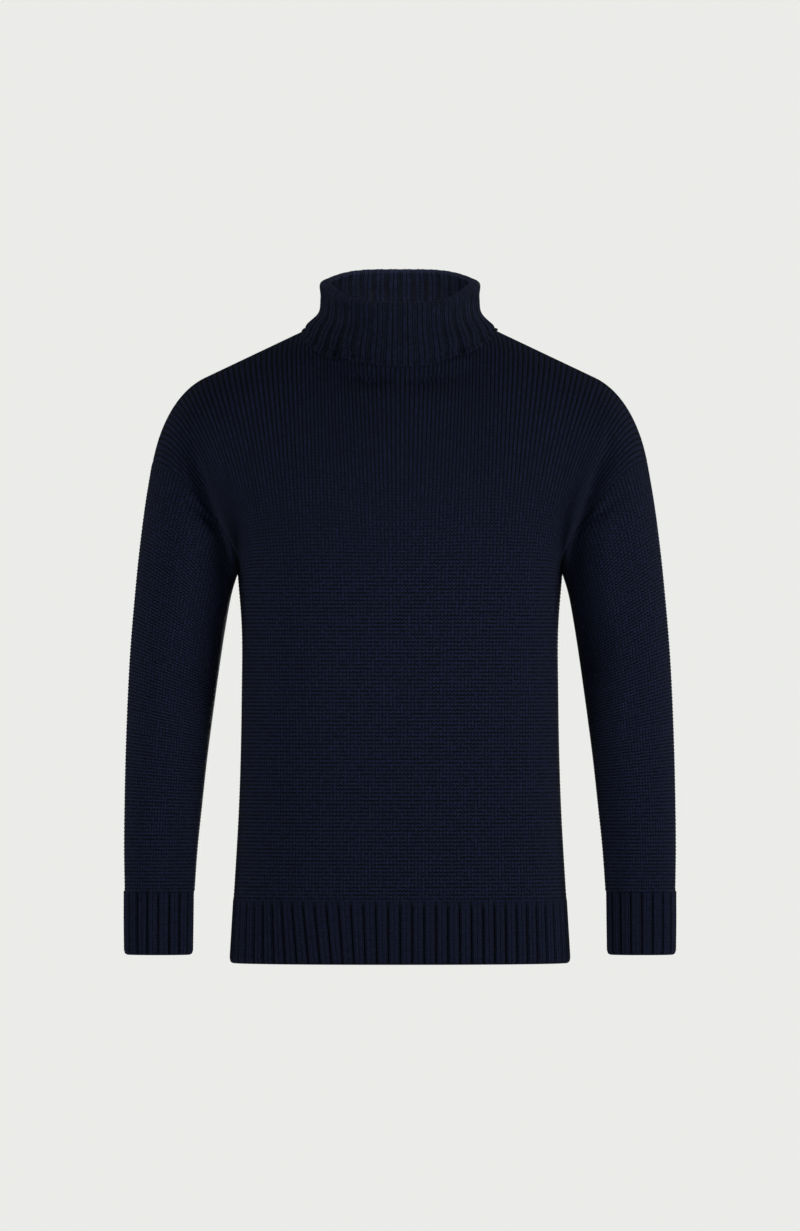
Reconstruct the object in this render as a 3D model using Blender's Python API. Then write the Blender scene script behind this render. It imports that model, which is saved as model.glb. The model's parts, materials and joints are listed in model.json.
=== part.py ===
"""Turtleneck sweater in a chunky plain knit, filled out as if worn, with nobody in it.

Metres, +Z up. The front faces -Y and the wearer's left side is +X. The origin is midway between the
two neck points, where the shoulder line starts: the wearer's shoulders hold the sweater up there.
Each piece that a maker knits and links on is one closed solid: a wall of real thickness around the
empty hollow, which stops a hair short of the seam to its neighbour.
"""

import math
from collections import namedtuple

import bpy
import numpy as np
from mathutils import Vector
from mathutils.bvhtree import BVHTree

# Cloth and seams
WALL = 0.0032
SEAM_GAP = 0.0003
NECK_SEAM_GAP = 0.0006
COLLAR_WALL = 0.0042
COLLAR_SEAT = 0.0014

# Heights on the garment, below or above the neck points
HEM_HEIGHT = -0.691
HEM_RIB_TOP = -0.622
CUFF_SEAM_HEIGHT = -0.6115
CUFF_HEIGHT = -0.683

# Shoulder line: a straight slope, then a round fall to the tip of the dropped shoulder
NECK_POINT = (0.082, 0.0090)
SHOULDER_TURN = (0.2137, -0.0534)
SHOULDER_TIP = (0.2704, -0.145)
SHOULDER_SLOPE = math.radians(26.5)
TIP_STEEPNESS = math.radians(79.5)
SHOULDER_HANDLE = 0.0365

# Armhole seam: from the shoulder tip over the front, or the back, to the underarm
UNDERARM = (0.1777, -0.266)
ARMHOLE_DEPTH = 0.072
ARMHOLE_BOW = 0.030

# Mesh fineness
HALF_COLUMNS = 14
NECK_COLUMNS = 5
LOWER_ROWS = 9
UPPER_ROWS = 11
ROW_CROWDING = 0.07
SLEEVE_ROWS = 14
DENSE = 160
SLOPE_STEP = 0.010

# Horizontal sections of the body, from the hem up to the underarm
Section = namedtuple("Section", "height half_width front back squareness")
BODY = (
    Section(-0.691, 0.1862, 0.100, 0.098, 2.25),
    Section(-0.622, 0.1821, 0.103, 0.097, 2.25),
    Section(-0.513, 0.1759, 0.109, 0.094, 2.25),
    Section(-0.400, 0.1732, 0.114, 0.094, 2.30),
    Section(-0.320, 0.1733, 0.118, 0.099, 2.35),
    Section(-0.266, 0.1777, 0.121, 0.104, 2.35),
)

# How a wale of the front or back runs on from the underarm row to the shoulder or the neck
Panel = namedtuple("Panel", "side rise shoulder_reach shoulder_lift neck_reach neck_lift")
FRONT = Panel(-1, 0.265, 0.275, 0.095, 0.112, 0.165)
BACK = Panel(1, 0.265, 0.265, 0.085, 0.110, 0.110)
EDGE_BLEND_START = 0.70
NECK_BLEND_START = (NECK_COLUMNS - 2) / HALF_COLUMNS
NECK_BLEND_END = NECK_COLUMNS / HALF_COLUMNS
TIP_BLEND_START = 0.62

# Rings of the sleeve, from the armhole to the cuff: an outer and an inner point, and the depth
Ring = namedtuple("Ring", "share outer_x outer_z inner_x inner_z centre_y half_depth bow")
SLEEVE = (
    Ring(0.00, 0.2704, -0.1450, 0.1777, -0.2660, 0.000, 0.0720, 0.030),
    Ring(0.10, 0.2779, -0.1900, 0.1842, -0.2900, 0.002, 0.0715, 0.019),
    Ring(0.20, 0.2844, -0.2400, 0.1890, -0.3180, 0.003, 0.0690, 0.010),
    Ring(0.32, 0.2899, -0.2950, 0.1941, -0.3520, 0.003, 0.0650, 0.004),
    Ring(0.44, 0.2944, -0.3500, 0.1993, -0.3890, 0.001, 0.0605, 0.001),
    Ring(0.56, 0.2973, -0.4050, 0.2047, -0.4290, -0.003, 0.0560, 0.000),
    Ring(0.68, 0.2992, -0.4600, 0.2100, -0.4710, -0.009, 0.0505, 0.000),
    Ring(0.80, 0.3003, -0.5150, 0.2150, -0.5180, -0.017, 0.0450, 0.000),
    Ring(0.90, 0.3007, -0.5650, 0.2198, -0.5650, -0.025, 0.0395, 0.000),
    Ring(1.00, 0.2999, -0.6115, 0.2231, -0.6115, -0.032, 0.0340, 0.000),
)

# Horizontal sections of the cuff
Cuff = namedtuple("Cuff", "height centre_x half_width centre_y half_depth")
CUFF = (
    Cuff(-0.6830, 0.2626, 0.0350, -0.0375, 0.0280),
    Cuff(-0.6775, 0.2626, 0.0376, -0.0375, 0.0302),
    Cuff(-0.6450, 0.2626, 0.0382, -0.0350, 0.0305),
    Cuff(-0.6118, 0.2624, 0.0384, -0.0320, 0.0310),
)

# Rings of the collar's visible face: up the inside, over the fold and down the outside.
# A flatter ring stays level for longer on its way round before it dips or rises.
Loop = namedtuple("Loop", "half_width front back side_z front_z back_z")
NECK_SEAM = Loop(0.0820, 0.0780, 0.0560, 0.0090, -0.0250, 0.0070)
Fold = namedtuple("Fold", "half_width front back side_z front_z back_z front_flatness back_flatness")
COLLAR_INSIDE = (
    Fold(0.0770, 0.0775, 0.0545, 0.0300, -0.0020, 0.0370, 2.6, 4.0),
    Fold(0.0762, 0.0750, 0.0540, 0.0455, 0.0190, 0.0570, 2.8, 5.0),
)
FOLD = Fold(0.0812, 0.0800, 0.0590, 0.0482, 0.0228, 0.0600, 2.8, 5.0)
FOLD_RADIUS = 0.0055
FOLD_ANGLES = (150, 90, 30)
COLLAR_OUTSIDE = (
    Fold(0.0868, 0.0868, 0.0650, 0.0350, 0.0100, 0.0420, 2.6, 4.0),
    Fold(0.0888, 0.0890, 0.0690, 0.0190, -0.0070, 0.0220, 2.2, 3.0),
    Fold(0.0965, 0.0925, 0.0740, 0.0078, -0.0240, 0.0030, 1.9, 2.0),
)
FREE_EDGE = Loop(0.1060, 0.0970, 0.0790, -0.0020, -0.0405, -0.0200)
EDGE_SAG_RIGHT = 0.55
EDGE_SAG_LEFT = 1.30

# How the fold's outer layer is laid on the body: rounds of pushing out, and where it is measured
SEATING_ROUNDS = 16
SEATING_DOWN = (0, 1 / 4, 1 / 2, 3 / 4)
SEATING_ACROSS = (0, 1 / 2)

# Two-by-two ribs: how many, how deep, and where along one rib its points stand
HEM_RIBS = 72
CUFF_RIBS = 18
COLLAR_RIBS = 32
RIB_DEPTH = 0.0022
COLLAR_RIB_DEPTH = 0.0026
RIB_STOPS = ((0.0, 1.0), (0.24, 0.0), (0.76, 0.0))
RIB_WALL = WALL + RIB_DEPTH / 2

# Levels of the hem's rib and how far its foot rounds in, and the cuff's levels
HEM_LEVELS = ((HEM_RIB_TOP - SEAM_GAP / 2, 0.0), (-0.640, 0.0), (-0.684, 0.0), (HEM_HEIGHT, 0.0022))
HEM_FOOT_GROOVE = 0.5
CUFF_LEVELS = (CUFF_SEAM_HEIGHT - SEAM_GAP, -0.645, -0.6775, CUFF_HEIGHT)

# Soft troughs where the cloth breaks: ends and bend seen from the front, depth and width.
# Each fades towards its ends, and off the cloth that turns away from the side it is pressed in from.
Crease = namedtuple("Crease", "face x1 z1 x2 z2 bend depth width")
CREASES = (
    Crease(-1, -0.222, -0.120, -0.188, -0.240, 0.008, 0.0090, 0.019),
    Crease(-1, 0.228, -0.108, 0.189, -0.238, 0.010, 0.0090, 0.019),
    Crease(1, -0.224, -0.128, -0.190, -0.240, 0.010, 0.0090, 0.020),
    Crease(1, 0.222, -0.132, 0.189, -0.242, 0.009, 0.0090, 0.020),
    Crease(-1, -0.196, -0.402, -0.240, -0.386, 0.004, 0.0050, 0.018),
    Crease(-1, 0.240, -0.316, 0.206, -0.370, 0.005, 0.0055, 0.018),
    Crease(-1, 0.200, -0.378, 0.246, -0.366, 0.004, 0.0045, 0.017),
    Crease(1, -0.215, -0.400, -0.285, -0.370, 0.006, 0.0055, 0.020),
    Crease(1, 0.215, -0.392, 0.283, -0.362, 0.006, 0.0055, 0.020),
    Crease(1, -0.120, -0.470, 0.110, -0.478, 0.012, 0.0050, 0.030),
)
CREASE_STEPS = 24
CREASE_FADE = (0.12, 0.92)
FACING_GAIN = 1.6

# Yarn colours as they read on each piece, sRGB
NAVY_PLAIN = "#171b2d"
NAVY_RIB = "#141829"
NAVY_COLLAR = "#171a2c"


def smooth(table, name, at):
    """A column of a table as a smooth curve over its first column."""
    keys = np.array([row[0] for row in table])
    values = np.array([getattr(row, name) for row in table])
    slopes = np.gradient(values, keys)
    at = np.clip(at, keys[0], keys[-1])
    i = min(int(np.searchsorted(keys, at, side="right")) - 1, len(keys) - 2)
    span = keys[i + 1] - keys[i]
    return hermite(values[i], slopes[i] * span, values[i + 1], slopes[i + 1] * span, (at - keys[i]) / span)


def hermite(start, start_run, end, end_run, t):
    """The cubic from start to end that leaves and arrives along the two runs."""
    return (
        start * (2 * t**3 - 3 * t**2 + 1)
        + start_run * (t**3 - 2 * t**2 + t)
        + end * (3 * t**2 - 2 * t**3)
        + end_run * (t**3 - t**2)
    )


def ease(value, start, end=1.0):
    """0 up to start, 1 from end on, and smooth between."""
    t = np.clip((value - start) / (end - start), 0, 1)
    return t * t * (3 - 2 * t)


def along(points, shares):
    """The points at these shares of a line's length."""
    steps = np.linalg.norm(np.diff(points, axis=0), axis=1)
    travelled = np.concatenate([[0], np.cumsum(steps)])
    at = np.asarray(shares) * travelled[-1]
    return np.stack([np.interp(at, travelled, points[:, k]) for k in range(3)], axis=1)


def body_quarter(height, side, half_columns):
    """Half of the front's or back's row at one height, from its middle to the side seam at +X."""
    depth = smooth(BODY, "front" if side < 0 else "back", height)
    power = 2 / smooth(BODY, "squareness", height)
    turn = np.linspace(0, math.pi / 2, DENSE)
    row = np.stack(
        [
            smooth(BODY, "half_width", height) * np.sin(turn) ** power,
            side * depth * np.maximum(np.cos(turn), 0) ** power,
            np.full(DENSE, height),
        ],
        axis=1,
    )
    return along(row, half_columns)


def loop_points(loop, turn, sag=2.0):
    """Points of a level or tilted ring, by their turn from the middle of the front."""
    cosine = np.cos(turn)
    front = np.maximum(cosine, 0)
    back = np.maximum(-cosine, 0)
    drop = np.power(front, sag)
    rise = back**2
    return np.stack(
        [
            loop.half_width * np.sin(turn),
            loop.back * back - loop.front * front,
            loop.side_z + (loop.front_z - loop.side_z) * drop + (loop.back_z - loop.side_z) * rise,
        ],
        axis=1,
    )


def neckline_half(side):
    """The neck seam of the front or back, from its middle to the neck point at +X."""
    start = 0 if side < 0 else math.pi
    dense = loop_points(NECK_SEAM, np.linspace(start, math.pi / 2, DENSE))
    return along(dense, np.linspace(0, 1, NECK_COLUMNS + 1))


def shoulder_line():
    """The shoulder seam from the neck point to the shoulder tip, at +X."""
    turn = np.array(SHOULDER_TURN)
    tip = np.array(SHOULDER_TIP)
    leave = np.array([math.cos(SHOULDER_SLOPE), -math.sin(SHOULDER_SLOPE)])
    arrive = np.array([math.cos(TIP_STEEPNESS), -math.sin(TIP_STEEPNESS)])
    t = np.linspace(0, 1, DENSE)[:, None]
    fall = hermite(turn, 3 * SHOULDER_HANDLE * leave, tip, 3 * SHOULDER_HANDLE * arrive, t)
    flat = np.concatenate([[NECK_POINT], fall])
    line = np.stack([flat[:, 0], np.zeros(len(flat)), flat[:, 1]], axis=1)
    return along(line, np.linspace(0, 1, HALF_COLUMNS - NECK_COLUMNS + 1))


def bow_direction(outer, inner):
    """In the front view, across the line between two points and towards the neck."""
    run = inner - outer
    across = np.array([run[2], 0, -run[0]])
    return across / np.linalg.norm(across)


def ring_half(outer, inner, centre_y, half_depth, bow, side):
    """Half a ring round the arm, from the inner to the outer point over the front or back."""
    r = upper_shares()[:, None]
    shift = np.array([0, centre_y, 0])
    bulge = side * half_depth * np.array([0, 1, 0]) + bow * bow_direction(outer, inner)
    return hermite(inner + shift, 4 * bulge, outer + shift, -4 * bulge, r)


def upper_shares():
    """How far up each row lies between the underarm and the shoulder, closer together at both ends."""
    even = np.linspace(0, 1, UPPER_ROWS + 1)
    return even - ROW_CROWDING * np.sin(2 * math.pi * even)


def xz(point):
    return np.array([point[0], 0, point[1]])


def panel_half(panel):
    """The +X half of the front or back: rows from the rib to the shoulder, columns from the middle."""
    u = np.linspace(0, 1, HALF_COLUMNS + 1)
    heights = np.linspace(HEM_RIB_TOP, UNDERARM[1], LOWER_ROWS + 1)
    lower = [body_quarter(height, panel.side, u) for height in heights]

    below = body_quarter(UNDERARM[1] - SLOPE_STEP, panel.side, u)
    rise = (lower[-1] - below) / SLOPE_STEP * panel.rise
    bulge = panel.side * ARMHOLE_DEPTH * np.array([0, 1, 0])
    bulge = bulge + ARMHOLE_BOW * bow_direction(xz(SHOULDER_TIP), xz(UNDERARM))
    edge = ease(u, EDGE_BLEND_START)[:, None]
    start_run = rise * (1 - edge) + 4 * bulge * edge

    top = np.concatenate([neckline_half(panel.side), shoulder_line()[1:]])
    over = np.array([0, -panel.side * panel.shoulder_reach, panel.shoulder_lift])
    to_neck = np.array([0, -panel.side * panel.neck_reach, panel.neck_lift])
    neck = ease(u, NECK_BLEND_START, NECK_BLEND_END)[:, None]
    tip = ease(u, TIP_BLEND_START)[:, None]
    end_run = (to_neck * (1 - neck) + over * neck) * (1 - tip) - 4 * bulge * tip

    upper = [hermite(lower[-1], start_run, top, end_run, r) for r in upper_shares()[1:]]
    return np.array(lower + upper)


def panel_grid(panel):
    half = panel_half(panel)
    return np.concatenate([half[:, :0:-1] * [-1, 1, 1], half], axis=1)


def sleeve_grid(hand):
    """Rings of the sleeve at +X (hand 1) or -X (hand -1), each closed, from the armhole down."""
    rings = []
    for share in np.linspace(0, 1, SLEEVE_ROWS + 1):
        ring = Ring(share, *(smooth(SLEEVE, name, share) for name in Ring._fields[1:]))
        outer = np.array([ring.outer_x, 0, ring.outer_z])
        inner = np.array([ring.inner_x, 0, ring.inner_z])
        front = ring_half(outer, inner, ring.centre_y, ring.half_depth, ring.bow, -1)
        back = ring_half(outer, inner, ring.centre_y, ring.half_depth, ring.bow, 1)
        rings.append(np.concatenate([front[::-1], back[1:-1]]) * [hand, 1, 1])
    return np.array(rings)


def face_normals(grid, closed):
    """The normal of each quad of a grid, twice its area long."""
    across = np.roll(grid, -1, axis=1) if closed else grid[:, 1:]
    near = grid if closed else grid[:, :-1]
    return np.cross(across[1:] - near[:-1], near[1:] - across[:-1])


def vertex_normals(grids, closed):
    """Unit normals at each grid's points, shared where two grids meet at a seam."""
    sums = []
    for grid, ring in zip(grids, closed):
        total = np.zeros_like(grid)
        quads = face_normals(grid, ring)
        for down in (0, 1):
            rows = slice(down, down + quads.shape[0])
            if ring:
                total[rows] += quads + np.roll(quads, 1, axis=1)
            else:
                total[rows, :-1] += quads
                total[rows, 1:] += quads
        sums.append(total)
    points = np.concatenate([grid.reshape(-1, 3) for grid in grids])
    flat = np.concatenate([total.reshape(-1, 3) for total in sums])
    _, index = np.unique(np.round(points, 6), axis=0, return_inverse=True)
    joined = np.zeros((index.max() + 1, 3))
    np.add.at(joined, index.reshape(-1), flat)
    flat = joined[index.reshape(-1)]
    flat /= np.linalg.norm(flat, axis=1, keepdims=True)
    found, start = [], 0
    for grid in grids:
        size = grid.shape[0] * grid.shape[1]
        found.append(flat[start : start + size].reshape(grid.shape))
        start += size
    return found


def creased(grid, normals):
    """The grid with the soft troughs pressed in along its normals."""
    sunk = np.zeros(grid.shape[:2])
    for crease in CREASES:
        t = np.linspace(0, 1, CREASE_STEPS)
        line_x = crease.x1 + (crease.x2 - crease.x1) * t
        line_z = crease.z1 + (crease.z2 - crease.z1) * t
        bowed = crease.bend * np.sin(math.pi * t) * np.sign(crease.x1)
        line_x = line_x - bowed
        away = np.hypot(grid[..., 0, None] - line_x, grid[..., 2, None] - line_z)
        fade = np.sqrt(np.sin(math.pi * np.linspace(*CREASE_FADE, CREASE_STEPS)))
        trough = (fade * np.exp(-((away / crease.width) ** 2))).max(axis=2)
        facing = np.clip(FACING_GAIN * crease.face * normals[..., 1], 0, 1)
        sunk += crease.depth * trough * facing
    return grid - normals * sunk[..., None]


def pulled_back(grid, normals, closed):
    """The grid with its edge points moved half a seam's gap into the piece, square to the seam."""
    moved = grid.copy()

    def shift(edge, inside, normal):
        if closed:
            run = np.roll(edge, -1, axis=0) - np.roll(edge, 1, axis=0)
        else:
            run = np.gradient(edge, axis=0)
        across = np.cross(run, normal)
        across /= np.linalg.norm(across, axis=1, keepdims=True)
        inwards = np.sign(((inside - edge) * across).sum(axis=1, keepdims=True))
        return across * inwards * SEAM_GAP / 2

    if not closed:
        moved[:, 0] += shift(grid[:, 0], grid[:, 1], normals[:, 0])
        moved[:, -1] += shift(grid[:, -1], grid[:, -2], normals[:, -1])
    moved[0] += shift(grid[0], grid[1], normals[0])
    moved[-1] += shift(grid[-1], grid[-2], normals[-1])
    return moved


def clear_of_middle(grid, side):
    """The front or back kept on its own side of the seams that join them."""
    kept = grid.copy()
    kept[..., 1] = side * np.maximum(side * grid[..., 1], SEAM_GAP / 2)
    return kept


def strip(first, second, closed, inside=False):
    """Triangles between two rows of points, with mirrored diagonals in the two halves of a row."""
    columns = len(first)
    found = []
    for i in range(columns if closed else columns - 1):
        j = (i + 1) % columns
        corners = (int(first[i]), int(first[j]), int(second[j]), int(second[i]))
        start = int(inside) ^ int(i >= columns // 2)
        a, b, c, d = corners[start:] + corners[:start]
        found.extend([(a, b, c), (a, c, d)])
    return found


def shell(name, outer, inner, closed, colour):
    """One closed solid between an outer and an inner grid with the same number of columns."""
    outer_at = np.arange(outer.shape[0] * outer.shape[1]).reshape(outer.shape[:2])
    inner_at = np.arange(inner.shape[0] * inner.shape[1]).reshape(inner.shape[:2]) + outer_at.size
    faces = []
    for k in range(outer.shape[0] - 1):
        faces += strip(outer_at[k], outer_at[k + 1], closed)
    for k in range(inner.shape[0] - 1):
        faces += strip(inner_at[k + 1], inner_at[k], closed, inside=True)
    faces += strip(inner_at[0], outer_at[0], closed)
    faces += strip(outer_at[-1], inner_at[-1], closed)
    if not closed and outer.shape[0] == inner.shape[0]:
        faces += strip(outer_at[:, 0], inner_at[:, 0], False)
        faces += strip(inner_at[:, -1], outer_at[:, -1], False)
    elif not closed:
        faces.append(tuple(int(i) for i in (*outer_at[:, 0], *inner_at[::-1, 0])))
        faces.append(tuple(int(i) for i in (*outer_at[::-1, -1], *inner_at[:, -1])))

    points = np.concatenate([outer.reshape(-1, 3), inner.reshape(-1, 3)])
    mesh = bpy.data.meshes.new(name)
    mesh.from_pydata(points.tolist(), [], faces)
    mesh.validate()
    mesh.shade_smooth()
    piece = bpy.data.objects.new(name, mesh)
    bpy.context.scene.collection.objects.link(piece)
    mesh.materials.append(wool(f"navy wool {name}", colour))
    return piece


def wool(name, colour):
    """Matt wool in one colour, given as sRGB."""
    channels = [int(colour[i : i + 2], 16) / 255 for i in (1, 3, 5)]
    linear = [c / 12.92 if c <= 0.04045 else ((c + 0.055) / 1.055) ** 2.4 for c in channels]
    material = bpy.data.materials.new(name)
    material.use_nodes = True
    shader = material.node_tree.nodes["Principled BSDF"]
    shader.inputs["Base Color"].default_value = (*linear, 1)
    shader.inputs["Roughness"].default_value = 0.92
    shader.inputs["Metallic"].default_value = 0.0
    return material


def make_panels_and_sleeves():
    """Front, back and both sleeves, whose walls share their normals along the seams."""
    names = ("body_front", "body_back", "sleeve_left", "sleeve_right")
    grids = [panel_grid(FRONT)[::-1, ::-1], panel_grid(BACK)[::-1], sleeve_grid(1), sleeve_grid(-1)[:, ::-1]]
    closed = (False, False, True, True)
    normals = vertex_normals(grids, closed)
    grids = [creased(grid, normal) for grid, normal in zip(grids, normals)]
    normals = vertex_normals(grids, closed)
    for name, grid, normal, ring in zip(names, grids, normals, closed):
        level = normal[-1] * [1, 1, 0]
        normal[-1] = level / np.linalg.norm(level, axis=1, keepdims=True)
        outer = pulled_back(grid, normal, ring)
        inner = outer - normal * WALL
        if not ring:
            side = FRONT.side if name == "body_front" else BACK.side
            outer, inner = clear_of_middle(outer, side), clear_of_middle(inner, side)
        shell(name, outer, inner, ring, NAVY_PLAIN)
    return grids[:2]


def rib_columns(ribs, closed):
    """Shares along a ribbed edge, and how far down the groove each of its points is."""
    shares = [(rib + stop) / ribs for rib in range(ribs) for stop, _ in RIB_STOPS]
    depths = [depth for _ in range(ribs) for _, depth in RIB_STOPS]
    if not closed:
        shares.append(1.0)
        depths.append(RIB_STOPS[0][1])
    return np.array(shares), np.array(depths)


def make_hem_rib(name, side):
    """Half of the ribbed hem, between the side seams."""
    shares, grooves = rib_columns(HEM_RIBS // 2, False)
    outer, inner = [], []
    for height, inset in HEM_LEVELS:
        halves = body_quarter(height, side, np.linspace(0, 1, DENSE))
        row = np.concatenate([halves[:0:-1] * [-1, 1, 1], halves])
        row = along(row, shares)
        run = np.gradient(row, axis=0) * [1, 1, 0]
        normal = np.stack([-side * run[:, 1], side * run[:, 0], run[:, 2]], axis=1)
        normal /= np.linalg.norm(normal, axis=1, keepdims=True)
        sunk = grooves * RIB_DEPTH * (HEM_FOOT_GROOVE if inset else 1) + inset
        outer.append(row - normal * sunk[:, None])
        inner.append(row - normal * RIB_WALL)
    outer, inner = np.array(outer), np.array([inner[0], inner[-1]])
    for grid in (outer, inner):
        grid[:, 0, 1] = side * SEAM_GAP / 2
        grid[:, -1, 1] = side * SEAM_GAP / 2
    if side < 0:
        outer, inner = outer[:, ::-1], inner[:, ::-1]
    shell(name, outer, inner, False, NAVY_RIB)


def make_cuff(name, hand):
    """A ribbed cuff, one tube."""
    shares, grooves = rib_columns(CUFF_RIBS, True)
    outer, inner = [], []
    turn = np.linspace(0, 2 * math.pi, DENSE)
    for height in CUFF_LEVELS:
        centre = np.array([smooth(CUFF, "centre_x", height), smooth(CUFF, "centre_y", height), height])
        width = smooth(CUFF, "half_width", height)
        depth = smooth(CUFF, "half_depth", height)
        unit = np.stack([np.sin(turn), -np.cos(turn), 0 * turn], axis=1)
        row = along(centre + unit * [width, depth, 0], shares)
        normal = (row - centre) / [width**2, depth**2, 1]
        normal /= np.linalg.norm(normal, axis=1, keepdims=True)
        outer.append(row - normal * (grooves * RIB_DEPTH)[:, None])
        inner.append(row - normal * RIB_WALL)
    outer = np.array(outer) * [hand, 1, 1]
    inner = np.array([inner[0], inner[-1]]) * [hand, 1, 1]
    if hand > 0:
        outer, inner = outer[:, ::-1], inner[:, ::-1]
    shell(name, outer, inner, True, NAVY_RIB)


def neck_seam_ring(shares):
    """The body's neck edge all round, from the middle of the front over +X."""
    front = neckline_half(-1)
    back = neckline_half(1)[::-1]
    half = np.concatenate([front, back[1:]])
    whole = np.concatenate([half, half[-2::-1] * [-1, 1, 1]])
    return along(whole, shares)


def collar_ring(loop, shares):
    """A ring of the collar, level over the back and the sides, which dips in the middle of the front."""
    turn = np.linspace(0, 2 * math.pi, 4 * DENSE)
    ring = loop_points(loop, turn)
    across = np.abs(np.sin(turn))
    dip = 1 - across**loop.front_flatness
    rise = 1 - across**loop.back_flatness
    front = np.cos(turn) > 0
    end = np.where(front, loop.front_z, loop.back_z)
    ring[:, 2] = loop.side_z + (end - loop.side_z) * np.where(front, dip, rise)
    return along(ring, shares)


def free_edge_ring(shares):
    """The collar's edge, which sags lower and rounder on the wearer's right."""
    turn = np.linspace(0, 2 * math.pi, 4 * DENSE)
    tilt = EDGE_SAG_RIGHT + (EDGE_SAG_LEFT - EDGE_SAG_RIGHT) * (1 + np.sin(turn)) / 2
    return along(loop_points(FREE_EDGE, turn, tilt), shares)


def surface_of(grids):
    """The outer faces of some grids, to lay another piece on."""
    points, faces = [], []
    for grid in grids:
        at = np.arange(grid.shape[0] * grid.shape[1]).reshape(grid.shape[:2]) + len(points)
        points += [Vector(point) for point in grid.reshape(-1, 3)]
        for k in range(grid.shape[0] - 1):
            faces += strip(at[k], at[k + 1], False)
    return BVHTree.FromPolygons(points, faces)


def seated(visible, first, body):
    """The collar's face with its rows from the first one on clear of the body, and its edge on it."""
    face = visible.copy()
    last = len(face) - 1
    between = [(down, across) for down in SEATING_DOWN for across in SEATING_ACROSS]
    for _ in range(SEATING_ROUNDS):
        hidden = face - vertex_normals([face], [True])[0] * COLLAR_WALL
        beside = np.roll(hidden, -1, axis=1)
        columns = face.shape[1]
        most = np.zeros(face.shape[:2])
        push = np.zeros_like(face)
        for row in range(first, last + 1):
            below = min(row + 1, last)
            for down, across in between:
                line = hidden[row] * (1 - across) + beside[row] * across
                lower = hidden[below] * (1 - across) + beside[below] * across
                for i, point in enumerate(line * (1 - down) + lower * down):
                    near, normal, _, _ = body.find_nearest(Vector(point))
                    short = COLLAR_SEAT - (Vector(point) - near).dot(normal)
                    on_edge = row == last and across == 0
                    for k, share in ((row, 1 - down), (below, down)):
                        for c in (i, (i + 1) % columns) if across else (i,):
                            if short * share > most[k, c] or (on_edge and most[k, c] == 0):
                                most[k, c] = max(short * share, 0)
                                push[k, c] = np.array(normal) * short * share
        face += push
    return face


def make_collar(body):
    """The roll collar: one ribbed strip that rises from the neck seam and folds down outside."""
    shares, grooves = rib_columns(COLLAR_RIBS, True)
    seam = neck_seam_ring(shares) + [0, 0, NECK_SEAM_GAP]
    rows = [collar_ring(loop, shares) for loop in COLLAR_INSIDE]
    centre = collar_ring(FOLD, shares)
    outward = centre * [1, 1, 0]
    outward /= np.linalg.norm(outward, axis=1, keepdims=True)
    for degrees in FOLD_ANGLES:
        angle = math.radians(degrees)
        rows.append(centre + FOLD_RADIUS * (outward * math.cos(angle) + np.array([0, 0, math.sin(angle)])))
    rows += [collar_ring(loop, shares) for loop in COLLAR_OUTSIDE]
    rows.append(free_edge_ring(shares))
    inward = seam * [1, 1, 0]
    inward /= np.linalg.norm(inward, axis=1, keepdims=True)
    visible = np.array([seam - inward * COLLAR_WALL] + rows)[:, ::-1]
    visible = seated(visible, len(visible) - len(COLLAR_OUTSIDE), body)
    normals = vertex_normals([visible], [True])[0]
    level = normals[0] * [1, 1, 0]
    normals[0] = level / np.linalg.norm(level, axis=1, keepdims=True)
    hidden = visible - normals * COLLAR_WALL
    ribbed = visible - normals * (grooves[::-1] * COLLAR_RIB_DEPTH)[None, :, None]
    shell("collar", ribbed, hidden, True, NAVY_COLLAR)


def main():
    for old in list(bpy.data.objects):
        bpy.data.objects.remove(old, do_unlink=True)
    body = make_panels_and_sleeves()
    make_hem_rib("hem_rib_front", -1)
    make_hem_rib("hem_rib_back", 1)
    make_cuff("cuff_left", 1)
    make_cuff("cuff_right", -1)
    make_collar(surface_of(body))


main()
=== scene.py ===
"""The looks of a chunky navy turtleneck sweater, filled out as if worn, with nobody in it.

Metres, +Z up. The front faces -Y and the wearer's left side is +X. The origin is midway between the
two neck points. Every knitted piece is a shell of fine mesh with its stitches raised in it, on the
form of the plain solid that it replaces.
"""

import json
import math
from collections import namedtuple

import bpy
import numpy as np
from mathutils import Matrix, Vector
from mathutils.bvhtree import BVHTree

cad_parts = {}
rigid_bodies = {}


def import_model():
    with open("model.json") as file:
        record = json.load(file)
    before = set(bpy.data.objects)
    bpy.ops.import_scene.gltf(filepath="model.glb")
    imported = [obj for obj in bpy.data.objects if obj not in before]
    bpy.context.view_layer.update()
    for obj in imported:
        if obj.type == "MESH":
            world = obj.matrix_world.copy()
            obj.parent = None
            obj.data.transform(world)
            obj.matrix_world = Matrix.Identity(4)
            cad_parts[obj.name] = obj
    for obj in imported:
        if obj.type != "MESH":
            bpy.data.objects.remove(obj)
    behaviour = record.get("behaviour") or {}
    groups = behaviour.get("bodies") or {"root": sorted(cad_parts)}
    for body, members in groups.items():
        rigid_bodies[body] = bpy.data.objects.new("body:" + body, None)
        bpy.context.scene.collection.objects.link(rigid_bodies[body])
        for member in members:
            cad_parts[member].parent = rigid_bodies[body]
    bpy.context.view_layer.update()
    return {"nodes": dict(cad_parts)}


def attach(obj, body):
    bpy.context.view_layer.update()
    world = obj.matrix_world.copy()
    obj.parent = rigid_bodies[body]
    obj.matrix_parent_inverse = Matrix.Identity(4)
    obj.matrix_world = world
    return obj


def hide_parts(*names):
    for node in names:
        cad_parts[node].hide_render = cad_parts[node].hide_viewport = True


for old in list(bpy.data.objects):
    bpy.data.objects.remove(old, do_unlink=True)
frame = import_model()
for node_object in frame["nodes"].values():
    node_object.select_set(False)


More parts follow.
